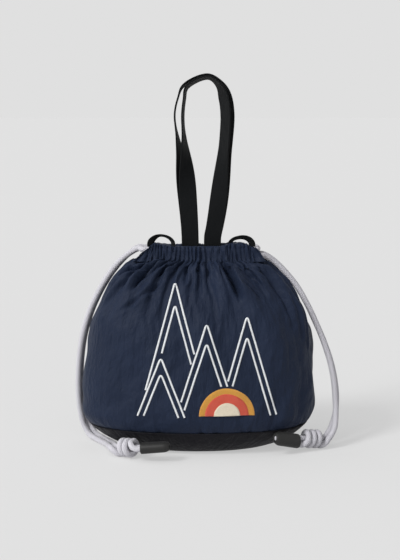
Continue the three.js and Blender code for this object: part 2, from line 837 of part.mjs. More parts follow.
add("front_panel", makePanel(-1), materials.navy);
add("back_panel", makePanel(1), materials.navy);
add("base_panel", makeBase(), materials.black);
add("left_seam_binding", makeSideBinding(false), materials.binding);
add("right_seam_binding", makeSideBinding(true), materials.binding);
add("base_seam_binding", makeBaseBinding(), materials.binding);
add("front_casing", makeCasing(-1), materials.navy);
add("back_casing", makeCasing(1), materials.navy);
add("left_drawstring_inner_run", makeInnerRun(-1, upperLane), materials.cord);
add("right_drawstring_inner_run", makeInnerRun(1, lowerLane), materials.cord);

for (const [faceName, side, loop] of [
  ["front", -1, frontLoop],
  ["back", 1, backLoop],
]) {
  add(`${faceName}_handle`, makeHandle(side, loop), materials.tape);
  add(`${faceName}_strap_end_left`, makeStrapEnd(side, -1), materials.tape);
  add(`${faceName}_strap_end_right`, makeStrapEnd(side, 1), materials.tape);
}

for (const [handName, end] of Object.entries(cordEnds)) {
  end.sleeve = placeSleeve(end);
  const held = through([...strandPoints(end, false), ...heldPoints(end)]);
  const wrapped = through([...strandPoints(end, true), ...wrappedPoints(end)]);
  const split = lengthTo(wrapped, wrappedPoints(end)[0]);
  const free = new Stretch(wrapped, 0, split - seamGap / 2);
  const knot = new Stretch(wrapped, split + seamGap / 2, wrapped.getLength());
  add(`${handName}_pull_loop`, makePullLoop(end.side), materials.tape);
  add(`${handName}_cord_back`, tubeAlong(held, 13), materials.cord);
  add(`${handName}_cord_front`, tubeAlong(free, 13), materials.cord);
  add(`${handName}_knot`, tubeAlong(knot, 3.4, 8), materials.cord);
  add(`${handName}_cord_sleeve`, makeSleeve(end.sleeve), materials.sleeve);
}

// How close the wraps of a knot come to each other, measured on its middle line
function leastSelfGap(end) {
  const points = evenly(400, knotStart(end), knotEnd(end)).map((x) => wrappedPoint(end, x));
  const apart = 60; // points, more than half a turn
  let least = Infinity;
  for (let i = 0; i < points.length; i++) {
    for (let j = i + apart; j < points.length; j++) {
      least = Math.min(least, points[i].distanceTo(points[j]) - cordDiameter);
    }
  }
  return least;
}

for (const [handName, end] of Object.entries(cordEnds)) {
  console.log(`${handName} knot, least gap between wraps: ${leastSelfGap(end).toFixed(2)} mm`);
}

export default bag;
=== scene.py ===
import math

import bmesh
import bpy
import numpy as np
from mathutils import Matrix, Vector
from mathutils.bvhtree import BVHTree


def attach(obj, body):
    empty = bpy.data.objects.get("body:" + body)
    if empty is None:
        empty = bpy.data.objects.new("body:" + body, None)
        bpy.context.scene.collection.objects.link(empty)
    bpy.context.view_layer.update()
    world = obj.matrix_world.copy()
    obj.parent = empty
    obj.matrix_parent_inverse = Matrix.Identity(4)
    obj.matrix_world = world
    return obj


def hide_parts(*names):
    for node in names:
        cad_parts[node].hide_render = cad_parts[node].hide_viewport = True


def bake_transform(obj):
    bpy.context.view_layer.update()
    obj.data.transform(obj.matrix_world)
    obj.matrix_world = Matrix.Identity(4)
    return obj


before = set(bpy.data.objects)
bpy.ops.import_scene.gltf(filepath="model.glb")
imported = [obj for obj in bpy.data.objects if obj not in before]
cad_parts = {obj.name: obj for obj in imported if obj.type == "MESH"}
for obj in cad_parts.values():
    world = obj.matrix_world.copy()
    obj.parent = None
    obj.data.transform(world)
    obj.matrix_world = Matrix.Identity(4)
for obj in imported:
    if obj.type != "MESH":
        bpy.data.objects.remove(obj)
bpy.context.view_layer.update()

# Sizes in metres, the same as in the part's source
SEAM_Z = 0.028
WIDEST_Z = 0.045
NECK_Z = 0.2207
MOUTH_SHIFT = 0.004
FLOOR_HALF = (0.074, 0.042)
BODY_HALF = (0.138, 0.076)
NECK_HALF = (0.066, 0.0146)
CASING_HALF_LENGTH = 0.063
CORD_RADIUS = 0.0035
CHANNEL_Y = 0.0123
UPPER_LANE = 0.2337
LOWER_LANE = 0.2263
STUB_END = 0.0145
HANDLE_AXIS = (0.0059, 0.2404)
PULL_AXIS = (0.0123, 0.2433)

# Colours, in linear light
NAVY = (0.0122, 0.0190, 0.0400)
BLACK_NYLON = (0.0065, 0.0062, 0.0088)
TAPE_BLACK = (0.0036, 0.0043, 0.0050)
CORD_GREY = (0.545, 0.535, 0.575)
SLEEVE_GREY = (0.0115, 0.0114, 0.0110)
THREAD_WHITE = (0.86, 0.88, 0.91)
THREAD_ORANGE = (0.68, 0.080, 0.038)
THREAD_MUSTARD = (0.70, 0.330, 0.045)
THREAD_CREAM = (0.80, 0.700, 0.530)
BACKGROUND = (0.745, 0.745, 0.745)

random = np.random.default_rng(11)


# Shader nodes
def add_node(tree, kind, inputs=None, **settings):
    node = tree.nodes.new("ShaderNode" + kind)
    for key, value in settings.items():
        setattr(node, key, value)
    for key, value in (inputs or {}).items():
        if isinstance(value, bpy.types.NodeSocket):
            tree.links.new(value, node.inputs[key])
        else:
            node.inputs[key].default_value = value
    return node


def calc(tree, operation, a, b=0.0):
    return add_node(tree, "Math", {0: a, 1: b}, operation=operation).outputs[0]


def between(tree, share, low, high):
    """The range low to high, by a share from 0 to 1."""
    inputs = {"Value": share, "To Min": low, "To Max": high}
    return add_node(tree, "MapRange", inputs).outputs["Result"]


def blended(tree, share, first, second):
    node = add_node(tree, "Mix", {0: share}, data_type="RGBA")
    for socket, colour in ((node.inputs[6], first), (node.inputs[7], second)):
        if isinstance(colour, bpy.types.NodeSocket):
            tree.links.new(colour, socket)
        else:
            socket.default_value = (*colour, 1)
    return node.outputs[2]


def weighted(tree, *terms):
    """The sum of values, each times its weight."""
    scaled = [calc(tree, "MULTIPLY", value, weight) for value, weight in terms]
    total = scaled[0]
    for value in scaled[1:]:
        total = calc(tree, "ADD", total, value)
    return total


def wave(tree, value, period):
    return calc(tree, "SINE", calc(tree, "MULTIPLY", value, 2 * math.pi / period))


def noise(tree, where, scale, detail=2.0):
    """Noise whose grain is set by a scale for each direction, in grains per metre."""
    mapped = add_node(tree, "Mapping", {"Vector": where, "Scale": scale}).outputs[0]
    inputs = {"Vector": mapped, "Scale": 1.0, "Detail": detail}
    return add_node(tree, "TexNoise", inputs).outputs["Fac"]


def new_material(name, roughness, sheen=0.0, specular=0.5, sheen_tint=(1, 1, 1)):
    material = bpy.data.materials.new(name)
    material.use_nodes = True
    shader = material.node_tree.nodes["Principled BSDF"]
    shader.inputs["Roughness"].default_value = roughness
    shader.inputs["Specular IOR Level"].default_value = specular
    shader.inputs["Sheen Weight"].default_value = sheen
    shader.inputs["Sheen Roughness"].default_value = 0.45
    shader.inputs["Sheen Tint"].default_value = (*sheen_tint, 1)
    return material, material.node_tree, shader


def finish_material(material, colour, shades, tone, height, distance, strength):
    """Shades a colour from dark to light by a tone, and adds relief from a height."""
    tree = material.node_tree
    shader = tree.nodes["Principled BSDF"]
    dark, light = (tuple(min(1.0, c * k) for c in colour) for k in shades)
    tree.links.new(blended(tree, tone, dark, light), shader.inputs["Base Color"])
    bump = add_node(tree, "Bump", {"Height": height, "Distance": distance, "Strength": strength})
    tree.links.new(bump.outputs[0], shader.inputs["Normal"])
    return material


def on_cloth(tree):
    """The place on the flat cloth in metres, and its u and v."""
    where = add_node(tree, "UVMap", uv_map="cloth").outputs[0]
    u, v, _ = add_node(tree, "SeparateXYZ", {0: where}).outputs
    return where, u, v


def nylon(name, colour, sheen_tint):
    """Light nylon with a dry crinkle: fine slubs that run up the cloth, over softer creasing."""
    material, tree, _ = new_material(name, 0.55, 0.04, 0.12, sheen_tint)
    where = add_node(tree, "UVMap", uv_map="cloth").outputs[0]
    slubs = noise(tree, where, (1150, 190, 1))
    cross = noise(tree, where, (330, 900, 1), 1.0)
    creases = noise(tree, where, (120, 62, 1), 4.0)
    pulls = noise(tree, where, (210, 38, 1))
    patches = noise(tree, where, (22, 16, 1))
    fine = weighted(tree, (slubs, 0.65), (cross, 0.35))
    tone = between(tree, weighted(tree, (fine, 0.55), (patches, 0.45)), -0.55, 1.55)
    height = weighted(tree, (fine, 0.55), (creases, 2.1), (pulls, 0.9))
    return finish_material(material, colour, (0.82, 1.20), tone, height, 0.0016, 0.85)


def webbing(name, colour):
    """Flat woven tape: ribs across it, warp lines along it. u runs across it and v along it."""
    material, tree, _ = new_material(name, 0.75, 0.04, 0.12)
    where, across, along = on_cloth(tree)
    warp = wave(tree, across, 0.00125)
    stagger = calc(tree, "MULTIPLY", calc(tree, "SIGN", warp), math.pi / 2)
    weft = calc(tree, "SINE", weighted(tree, (along, 2 * math.pi / 0.0015), (stagger, 1.0)))
    weave = weighted(tree, (weft, 0.5), (warp, 0.3))
    wear = noise(tree, where, (260, 120, 1), 3.0)
    # Painted shade: the tape is darker in the weave's grooves and lighter on its ribs, from the same weave
    # that gives the relief; the wear noise adds random tone.
    tone = weighted(tree, (between(tree, weave, 0.3, 0.55), 1.0), (wear, 0.5))
    bends = noise(tree, where, (90, 45, 1))
    height = weighted(tree, (weave, 1.0), (bends, 5.0))
    return finish_material(material, colour, (0.65, 1.5), tone, height, 0.00026, 0.8)


def braid(name, colour):
    """Braided cord: strands cross in a chevron. u goes round it once and v is its length."""
    material, tree, _ = new_material(name, 0.78, 0.25, 0.25)
    where, u, v = on_cloth(tree)
    around = calc(tree, "MULTIPLY", u, 2 * math.pi * 8)
    along = calc(tree, "MULTIPLY", v, 2 * math.pi / 0.0029)
    one = calc(tree, "SINE", calc(tree, "ADD", along, around))
    other = calc(tree, "SINE", calc(tree, "SUBTRACT", along, around))
    plait = calc(tree, "MAXIMUM", one, other)
    fibre = noise(tree, where, (60, 1400, 1))
    height = weighted(tree, (plait, 1.0), (fibre, 0.5))
    # Painted shade: the cord is darker in the gaps between its strands and lighter on their crests, from the
    # same plait that gives the relief; the fibre noise adds random tone.
    tone = weighted(tree, (between(tree, plait, 0.35, 0.75), 1.0), (fibre, 0.25))
    return finish_material(material, colour, (0.80, 1.10), tone, height, 0.0003, 0.8)


def thread(name, colour, lean=0.0):
    """Embroidery thread: close stitches that lie across u, which runs along the stitches' row."""
    material, tree, _ = new_material(name, 0.42, 0.30, 0.5)
    where, u, v = on_cloth(tree)
    jitter = noise(tree, where, (500, 500, 1), 1.0)
    along = weighted(tree, (u, 1.0), (v, lean), (jitter, 0.0004))
    stitch = wave(tree, along, 0.00062)
    patches = noise(tree, where, (420, 900, 1), 3.0)
    # Painted shade: the thread is darker between the stitches and lighter on their crowns, from the same
    # stitch wave that gives the relief; the patches add uneven tone.
    tone = weighted(tree, (between(tree, stitch, 0.2, 0.5), 1.0), (patches, 0.6))
    height = weighted(tree, (stitch, 0.5), (patches, 1.0))
    return finish_material(material, colour, (0.72, 1.12), tone, height, 0.0004, 0.7)


def moulded(name, colour):
    """Soft plastic with a fine grain, scuffed duller in patches."""
    material, tree, shader = new_material(name, 0.55, 0.05, 0.4)
    where = add_node(tree, "TexCoord").outputs["Object"]
    grain = noise(tree, where, (1500, 1500, 1500), 3.0)
    scuffs = noise(tree, where, (160, 160, 160), 3.0)
    tree.links.new(between(tree, scuffs, 0.45, 0.68), shader.inputs["Roughness"])
    tone = weighted(tree, (grain, 0.5), (scuffs, 0.5))
    return finish_material(material, colour, (0.75, 1.35), tone, grain, 0.00012, 0.6)


NAVY_CLOTH = nylon("navy_cloth", NAVY, (0.55, 0.66, 1.0))
BLACK_CLOTH = nylon("black_cloth", BLACK_NYLON, (0.9, 0.9, 1.0))
BLACK_TAPE = webbing("black_tape", TAPE_BLACK)
CORD_BRAID = braid("cord_braid", CORD_GREY)
SLEEVE = moulded("sleeve_rubber", SLEEVE_GREY)


# Meshes from rows of points
def smooth(t):
    t = np.clip(t, 0, 1)
    return t * t * (3 - 2 * t)


def mix(a, b, t):
    return a + (b - a) * t


def link(mesh, name, material, shade_smooth=True):
    obj = bpy.data.objects.new(name, mesh)
    bpy.context.scene.collection.objects.link(obj)
    mesh.materials.append(material)
    mesh.polygons.foreach_set("use_smooth", [shade_smooth] * len(mesh.polygons))
    return obj


def spread(u, v):
    """Texture coordinates of a grid, from a u for each column and a v for each row."""
    return np.stack(np.broadcast_arrays(u[None], v[:, None]), -1)


def cells(rows, columns, ring=False):
    """The rows and columns of the corners of a grid's cells, and its faces."""
    spans = columns if ring else columns - 1
    i, j = np.meshgrid(np.arange(rows - 1), np.arange(spans), indexing="ij")
    corners = [(i, j), (i, j + 1), (i + 1, j + 1), (i + 1, j)]
    faces = np.stack([a * columns + b % columns for a, b in corners], -1)
    return corners, faces.reshape(-1, 4).tolist()


def grid(name, points, uv, material, ring=False, caps=False):
    """A sheet through rows of points. uv has a column more than the points where it is a ring."""
    rows, columns = points.shape[:2]
    corners, faces = cells(rows, columns, ring)
    places = np.stack([uv[a, b] for a, b in corners], -2).reshape(-1, 2)
    if caps:
        last = (rows - 1) * columns
        faces += [list(range(columns))[::-1], [last + k for k in range(columns)]]
        ends = np.concatenate([uv[0, :columns][::-1], uv[-1, :columns]])
        places = np.concatenate([places, ends])
    mesh = bpy.data.meshes.new(name)
    mesh.from_pydata(points.reshape(-1, 3).tolist(), [], faces)
    layer = mesh.uv_layers.new(name="cloth")
    layer.data.foreach_set("uv", places.reshape(-1))
    return link(mesh, name, material)


def through(points, per_span=12):
    """A smooth curve through points, centripetal so that it doesn't overshoot."""
    p = np.array(points, float)
    p = np.vstack([2 * p[0] - p[1], p, 2 * p[-1] - p[-2]])
    gap = np.linalg.norm(np.diff(p, axis=0), axis=1, keepdims=True) ** 0.5
    a, b, c, d = p[:-3], p[1:-2], p[2:-1], p[3:]
    before, here, after = gap[:-2], gap[1:-1], gap[2:]
    start = ((b - a) / before - (c - a) / (before + here) + (c - b) / here) * here
    end = ((c - b) / here - (d - b) / (here + after) + (d - c) / after) * here
    t = np.linspace(0, 1, per_span, endpoint=False)[:, None, None]
    bend = (3 * (c - b) - 2 * start - end) * t**2
    curl = (2 * (b - c) + start + end) * t**3
    curve = (b + start * t + bend + curl).transpose(1, 0, 2).reshape(-1, 3)
    return np.vstack([curve, p[-2]])


def lengths(points):
    steps = np.linalg.norm(np.diff(points, axis=0), axis=1)
    return np.concatenate([[0], np.cumsum(steps)])


def evenly_spaced(points, spacing):
    """The same line with its points evenly spaced."""
    at = lengths(points)
    count = max(2, int(round(at[-1] / spacing)))
    wanted = np.linspace(0, at[-1], count + 1)
    return np.stack([np.interp(wanted, at, points[:, k]) for k in range(3)], -1)


def unit(v):
    return v / np.maximum(np.linalg.norm(v, axis=-1, keepdims=True), 1e-12)


def tangents_of(path):
    return unit(np.gradient(path, axis=0))


def carried_frames(path):
    """Two normals along a path, carried along it without twist."""
    tangents = tangents_of(path)
    first = np.cross(tangents[0], (0, 0, 1))
    if np.linalg.norm(first) < 0.1:
        first = np.cross(tangents[0], (0, 1, 0))
    normals = [unit(first)]
    for before, after in zip(tangents[:-1], tangents[1:]):
        n = normals[-1] - after * np.dot(normals[-1], after)
        normals.append(unit(n))
    normals = np.array(normals)
    return normals, np.cross(tangents, normals)


CORD_SIDES = 18
FURROW = 0.06  # depth of the shallow furrow on two sides of a cord, as a share of its radius
ROUNDED = np.array([0.55, 0.85, 0.97])  # shares of the radius at an end that is rounded off


def cord(name, path, rounded=(False, False)):
    """A braided cord along a path. rounded says of each of its ends whether it is rounded off."""
    normal, other = carried_frames(path)
    size = np.full(len(path), CORD_RADIUS)
    if rounded[0]:
        size[:3] *= ROUNDED
    if rounded[1]:
        size[-3:] *= ROUNDED[::-1]
    turn = np.arange(CORD_SIDES + 1) / CORD_SIDES
    angle = 2 * np.pi * turn[:-1]
    dent = 1 - FURROW * np.exp(-(((np.mod(turn[:-1], 0.5) - 0.25) / 0.06) ** 2))
    ring = np.cos(angle)[:, None] * normal[:, None] + np.sin(angle)[:, None] * other[:, None]
    points = path[:, None] + ring * (size[:, None] * dent)[:, :, None]
    return grid(name, points, spread(turn, lengths(path)), CORD_BRAID, ring=True, caps=True)


def join(name, parts):
    """One piece out of several, which are parts of one cloth or of one embroidery."""
    with bpy.context.temp_override(active_object=parts[0], selected_editable_objects=parts):
        bpy.ops.object.join()
    parts[0].name = name
    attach(parts[0], "bag")
    return parts[0]


# Camera at the photograph's angle
camera_data = bpy.data.cameras.new("camera")
camera_data.lens = 81.7
camera_data.sensor_width = 36
camera_data.clip_end = 100
camera = bpy.data.objects.new("camera", camera_data)
camera.location = (0.0024, -1.4854, 0.40476)
aim = Vector((0.0024, 0, 0.196)) - camera.location
camera.rotation_euler = aim.to_track_quat("-Z", "Y").to_euler()
bpy.context.scene.collection.objects.link(camera)
bpy.context.scene.camera = camera


# Cord ends. A route point is x, y and z of the middle of the pair of strands and, between y and z,
# how far each strand lies to the side of it along x and along y.
WRAP_PITCH = 0.0078
WRAP_RADIUS = 0.0077
LEAD_IN = (0.009, 0.2)  # length of the way into the wraps, and the turns wound on it
LEAD_OUT = (0.007, 0.17)
SLEEVE_SETBACK = 0.003
SLEEVE_HALF = (0.0085, 0.0063)  # half of its width and of its height
SLEEVE_GIRTH = 0.047
IN_SLEEVE = (-0.0015, 0.002, 0.0099, 0.0198)  # where along the sleeve both strands' last points lie
CORD_STEP = 0.0022
KNOT_STEP = 0.0012


def frame_at(x, y, z, yaw, pitch, roll):
    yaw, pitch, roll = (math.radians(v) for v in (yaw, pitch, roll))
    turn = Matrix.Rotation(yaw, 4, "Z") @ Matrix.Rotation(-pitch, 4, "Y") @ Matrix.Rotation(roll, 4, "X")
    return Matrix.Translation((x, y, z)) @ turn


CORD_ENDS = {
    "left": {
        "lane": UPPER_LANE,
        "side": -1,
        "wraps": 2.63,
        "winds": 1,
        "start_angle": 180,
        "knot": frame_at(-0.081, -0.071, 0.0124, -40, 7, 0),
        "bend_in": 24,
        "bend_out": 32,
        "tip_recess": 0.002,
        "route": [
            (-0.069, 0.005, 0, 0.0076, 0.2343), (-0.08, 0.004, 0.0003, 0.0042, 0.2282),
            (-0.0925, 0.005, 0.001, 0.004, 0.217), (-0.105, 0.006, 0.001, 0.004, 0.201),
            (-0.117, 0.006, 0.001, 0.004, 0.181), (-0.1275, 0.0065, 0.001, 0.004, 0.158),
            (-0.136, 0.008, 0.001, 0.004, 0.13), (-0.1405, 0.01, 0.001, 0.004, 0.102),
            (-0.1425, 0.013, 0.001, 0.004, 0.074), (-0.1425, 0.016, 0.001, 0.004, 0.052),
            (-0.1395, 0.019, 0.002, 0.0038, 0.031), (-0.1345, 0.019, 0.0031, 0.0029, 0.0155),
            (-0.1275, 0.013, 0.0037, 0.002, 0.0065), (-0.1195, 0.001, 0.0037, 0.002, 0.0046),
            (-0.1115, -0.013, 0.0037, 0.002, 0.0046), (-0.104, -0.028, 0.0037, 0.0019, 0.0052),
        ],
    },
    "right": {
        "lane": LOWER_LANE,
        "side": 1,
        "wraps": 2.8,
        "winds": -1,
        "start_angle": 270,
        "knot": frame_at(0.134, -0.035, 0.013, 210, 8, 90),
        "bend_in": 42,
        "bend_out": 6,
        "tip_recess": 0.0004,
        "route": [
            (0.078, 0, 0, 0.0076, 0.2258), (0.088, 0, 0, 0.0042, 0.22),
            (0.1015, -0.001, 0, 0.004, 0.2073), (0.1165, -0.003, 0, 0.004, 0.189),
            (0.1285, -0.005, 0, 0.004, 0.1685), (0.139, -0.007, 0, 0.004, 0.1465),
            (0.149, -0.008, 0.0003, 0.004, 0.123), (0.157, -0.009, 0.0006, 0.004, 0.099),
            (0.1618, -0.01, 0.0009, 0.0039, 0.076), (0.1635, -0.012, 0.001, 0.0039, 0.056),
            (0.163, -0.016, 0.0002, 0.0041, 0.039), (0.159, -0.0235, -0.0015, 0.0038, 0.023),
        ],
    },
}


def strand_points(end, is_front):
    """One strand as far as its knot: a straight stub in the casing, then the free route."""
    away = -1 if is_front else 1
    spots = (STUB_END, 0.0315, 0.063, 0.068)
    stub = [(MOUTH_SHIFT + end["side"] * x, away * CHANNEL_Y, end["lane"]) for x in spots]
    return stub + [(x + away * ax, y + away * ay, z) for x, y, ax, ay, z in end["route"]]


def axis_frame(end, x):
    """A frame on the knot's axis, at a distance from the middle of the wraps."""
    half = end["wraps"] * WRAP_PITCH / 2
    if abs(x) <= half:
        return end["knot"] @ Matrix.Translation((x, 0, 0))
    way = math.copysign(1, x)
    lead = LEAD_IN[0] if way < 0 else LEAD_OUT[0]
    bend = math.radians(end["bend_in"] if way < 0 else end["bend_out"]) + 1e-6
    beyond = abs(x) - half
    angle = bend * min(1, beyond / lead)
    radius = lead / bend
    straight = max(0, beyond - lead)
    place = (
        way * (half + radius * math.sin(angle) + straight * math.cos(angle)),
        radius * (1 - math.cos(angle)) + straight * math.sin(angle),
        0,
    )
    return end["knot"] @ Matrix.Translation(place) @ Matrix.Rotation(way * angle, 4, "Z")


def wound_at(end, x):
    """How far the wrapped strand has wound round, in turns, at a distance from the middle."""
    half = end["wraps"] * WRAP_PITCH / 2
    if x < -half:
        return LEAD_IN[1] * max(0, min(1, (x + half + LEAD_IN[0]) / LEAD_IN[0])) ** 2
    if x > half:
        left = max(0, min(1, (half + LEAD_OUT[0] - x) / LEAD_OUT[0]))
        return LEAD_IN[1] + end["wraps"] + LEAD_OUT[1] * (1 - left**2)
    return LEAD_IN[1] + (x + half) / WRAP_PITCH


def strand_angle(end, wound):
    return math.radians(end["start_angle"] + 360 * end["winds"] * wound)


def knot_reach(end):
    half = end["wraps"] * WRAP_PITCH / 2
    return -half - LEAD_IN[0], half + LEAD_OUT[0]


def sleeve_frame(end):
    whole = strand_angle(end, LEAD_IN[1] + end["wraps"] + LEAD_OUT[1])
    turn = Matrix.Rotation(whole, 4, "X")
    middle = Matrix.Translation(turn @ Vector((0, WRAP_RADIUS / 2, 0))) @ turn
    return axis_frame(end, knot_reach(end)[1] + SLEEVE_SETBACK) @ middle


def held_points(end, sleeve):
    """The held strand goes straight through the wraps and into the sleeve."""
    start, stop = knot_reach(end)
    core = [axis_frame(end, x) @ Vector((0, 0, 0)) for x in np.linspace(start, stop, 10)]
    core += [sleeve @ Vector((x, -WRAP_RADIUS / 2, 0)) for x in IN_SLEEVE]
    return [tuple(point) for point in core]


def wrapped_points(end, sleeve):
    """The wrapped strand winds round the held one and into the sleeve beside it."""
    start, stop = knot_reach(end)
    turns = []
    for x in np.linspace(start, stop, 37):
        angle = strand_angle(end, wound_at(end, x))
        spot = Vector((0, WRAP_RADIUS * math.cos(angle), WRAP_RADIUS * math.sin(angle)))
        turns.append(axis_frame(end, x) @ spot)
    turns += [sleeve @ Vector((x, WRAP_RADIUS / 2, 0)) for x in IN_SLEEVE]
    return [tuple(point) for point in turns]


def superoval(half_width, half_height, sides):
    angle = 2 * np.pi * (np.arange(sides) + 0.5) / sides
    c, s = np.cos(angle), np.sin(angle)
    across = half_width * np.sign(c) * np.abs(c) ** 0.8
    return np.stack([across, half_height * np.sign(s) * np.abs(s) ** 0.9], -1)


def rings_along(place, rings, sides, recess=0.0):
    """Rings in a sleeve's frame: the distance along it, then the shares of its half width and height."""
    points = []
    for x, w, h in rings:
        outline = superoval(SLEEVE_HALF[0] * w, SLEEVE_HALF[1] * h, sides)
        points.append([tuple(place @ Vector((x - recess, y, z))) for y, z in outline])
    return np.array(points), np.array([ring[0] for ring in rings])


def make_sleeve(name, place):
    """The end sleeve: a flat soft tube, a little pinched at its tip, with a hole there."""
    outside = [
        (0, 0.88, 0.86), (0.0002, 0.94, 0.93), (0.001, 0.99, 0.99), (0.003, 1, 1), (0.012, 0.985, 0.98),
        (0.02, 0.97, 0.97), (0.0262, 0.965, 0.96), (0.028, 0.95, 0.94), (0.0298, 0.88, 0.87),
        (0.0312, 0.8, 0.79), (0.0322, 0.735, 0.725), (0.0328, 0.68, 0.66), (0.033, 0.6, 0.56),
    ]
    inside = [(0.0329, 0.4, 0.4), (0.0322, 0.36, 0.37), (0.03, 0.34, 0.36), (0.024, 0.34, 0.36)]
    mouth = [(0.0002, 0.8, 0.76), (0.001, 0.77, 0.7), (0.006, 0.77, 0.7)]
    points, at = rings_along(place, mouth[::-1] + outside + inside, 40)
    return grid(name, points, spread(np.linspace(0, SLEEVE_GIRTH, 41), at), SLEEVE, ring=True)


def make_cord_end(name, place, recess):
    """The fused end of a cord, which fills the hole in a sleeve's tip."""
    rings = [
        (0.024, 0.32, 0.34), (0.03, 0.325, 0.345), (0.032, 0.32, 0.34), (0.0326, 0.29, 0.31),
        (0.0329, 0.22, 0.24), (0.033, 0.12, 0.13), (0.033, 0.01, 0.01),
    ]
    points, at = rings_along(place, rings, 24, recess)
    return grid(name, points, spread(np.linspace(0, 1, 25), at), CORD_BRAID, ring=True)


def split_at(path, spot):
    nearest = int(np.argmin(np.linalg.norm(path - np.array(spot), axis=1)))
    return path[: nearest + 1], path[nearest:]


for hand, end in CORD_ENDS.items():
    body = f"{hand}_drawstring"
    sleeve = sleeve_frame(end)
    held = evenly_spaced(through(strand_points(end, False) + held_points(end, sleeve)), CORD_STEP)
    turns = wrapped_points(end, sleeve)
    wrapped = evenly_spaced(through(strand_points(end, True) + turns), KNOT_STEP)
    free, knot = split_at(wrapped, turns[0])
    free = evenly_spaced(free, CORD_STEP)
    back = cord(f"{hand}_cord_back_braid", held, (True, True))
    front = cord(f"{hand}_cord_front_braid", free, (True, False))
    wraps = cord(f"{hand}_knot_wraps", knot, (False, True))
    cap = make_sleeve(f"{hand}_end_sleeve", sleeve)
    tip = make_cord_end(f"{hand}_cord_tip", sleeve, end["tip_recess"])
    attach(tip, body)
    for piece, node in ((back, "cord_back"), (front, "cord_front"), (wraps, "knot"), (cap, "cord_sleeve")):
        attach(piece, body)
        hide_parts(f"{hand}_{node}")


# Light: a world brighter from the upper left and front, and a broad sun from there
BRIGHT_WAY = (-0.86, -0.34, 0.38)
WORLD_DARK = (0.04, 0.04, 0.04)
WORLD_BRIGHT = (1.25, 1.25, 1.25)
SUN_WAY = (0.60, 0.52, -0.66)
FLOOR_GREY = (0.74, 0.74, 0.74)
FLOOR_GLOW = 0.62  # share of the background's own colour in the floor
FLOOR_REACH = 30


def seen_directly(tree):
    """1 where the camera looks, also by way of a gloss, and 0 for what only lights the scene."""
    path = add_node(tree, "LightPath")
    return calc(tree, "MAXIMUM", path.outputs["Is Camera Ray"], path.outputs["Is Glossy Ray"])


def make_world():
    world = bpy.data.worlds.new("studio")
    bpy.context.scene.world = world
    world.use_nodes = True
    tree = world.node_tree
    where = add_node(tree, "TexCoord").outputs["Generated"]
    facing = add_node(tree, "VectorMath", {0: where, 1: BRIGHT_WAY}, operation="DOT_PRODUCT")
    share = add_node(tree, "MapRange", {"Value": facing.outputs["Value"], "From Min": -1.0}).outputs[0]
    soft = blended(tree, calc(tree, "POWER", share, 1.7), WORLD_DARK, WORLD_BRIGHT)
    lit = blended(tree, seen_directly(tree), soft, BACKGROUND)
    tree.links.new(lit, tree.nodes["Background"].inputs["Color"])


def make_sun():
    data = bpy.data.lights.new("key", "SUN")
    data.energy = 2.0
    data.angle = math.radians(16)
    sun = bpy.data.objects.new("key", data)
    sun.rotation_euler = Vector(SUN_WAY).to_track_quat("-Z", "Y").to_euler()
    bpy.context.scene.collection.objects.link(sun)


def make_floor():
    """A pale floor that shows the background's colour and keeps the bag's shadow."""
    material, tree, shader = new_material("pale_floor", 1.0, 0.0, 0.0)
    shader.inputs["Base Color"].default_value = (*FLOOR_GREY, 1)
    glow = add_node(tree, "Emission", {"Color": (*BACKGROUND, 1)}).outputs[0]
    share = calc(tree, "MULTIPLY", seen_directly(tree), FLOOR_GLOW)
    floor = add_node(tree, "MixShader", {0: share, 1: shader.outputs[0], 2: glow}).outputs[0]
    tree.links.new(floor, tree.nodes["Material Output"].inputs["Surface"])
    mesh = bpy.data.meshes.new("floor")
    corners = [(x * FLOOR_REACH, y * FLOOR_REACH, 0) for x, y in ((-1, -1), (1, -1), (1, 1), (-1, 1))]
    mesh.from_pydata(corners, [], [(0, 1, 2, 3)])
    link(mesh, "floor", material, False)


make_world()
make_sun()
make_floor()
bpy.context.scene.view_settings.view_transform = "Standard"


# Body surface: a superellipse at each height, round at the floor and drawn in at the shoulders
HALF = 200  # columns in the front half of a ring
LOW_CURVE = 1.7  # power of the side's curve below the widest height
FULL_SHOULDER = (2.8, 0.7)  # powers of its curve from the widest height up to the neck
RIGHT_SHOULDER = (3.2, 1.0)
SQUARENESS = (2.1, 2.4, 5)  # power of the outline at the floor, at the widest height and at the neck


def climb_at(z):
    return np.clip((z - WIDEST_Z) / (NECK_Z - WIDEST_Z), 0, 1)


def profile(z, axis, shoulder=FULL_SHOULDER):
    at_floor, widest, at_neck = FLOOR_HALF[axis], BODY_HALF[axis], NECK_HALF[axis]
    if z < WIDEST_Z:
        below = max(0, 1 - z / WIDEST_Z)
        return mix(at_floor, widest, (1 - below**LOW_CURVE) ** (1 / LOW_CURVE))
    return mix(at_neck, widest, (1 - climb_at(z) ** shoulder[0]) ** shoulder[1])


def half_outline(z, shares):
    """The front half of the outline at a height, at shares of its length from the left seam."""
    at_floor, widest, at_neck = SQUARENESS
    square = mix(mix(at_floor, widest, min(1, z / WIDEST_Z)), at_neck, climb_at(z) ** 3)
    angle = np.linspace(0, np.pi, 601)
    across = np.cos(angle)
    half_width = np.where(across > 0, profile(z, 0), profile(z, 0, RIGHT_SHOULDER))
    x = MOUTH_SHIFT * smooth(climb_at(z)) - half_width * np.sign(across) * np.abs(across) ** (2 / square)
    y = -profile(z, 1) * np.sin(angle).clip(0) ** (2 / square)
    at = lengths(np.stack([x, y], -1))
    return np.interp(shares * at[-1], at, x), np.interp(shares * at[-1], at, y)


def ring_at(z):
    shares = np.arange(HALF) / HALF
    front_x, front_y = half_outline(z, shares)
    back_x, back_y = half_outline(z, 1 - shares)
    x, y = np.concatenate([front_x, back_x]), np.concatenate([front_y, -back_y])
    return np.stack([x, y, np.full(2 * HALF, z)], -1)


def normals_of(rows):
    """Outward normals of a closed sheet whose rows run up and whose columns run round it."""
    round_it = np.roll(rows, -1, 1) - np.roll(rows, 1, 1)
    up = np.gradient(rows, axis=0)
    return unit(np.cross(round_it, up))


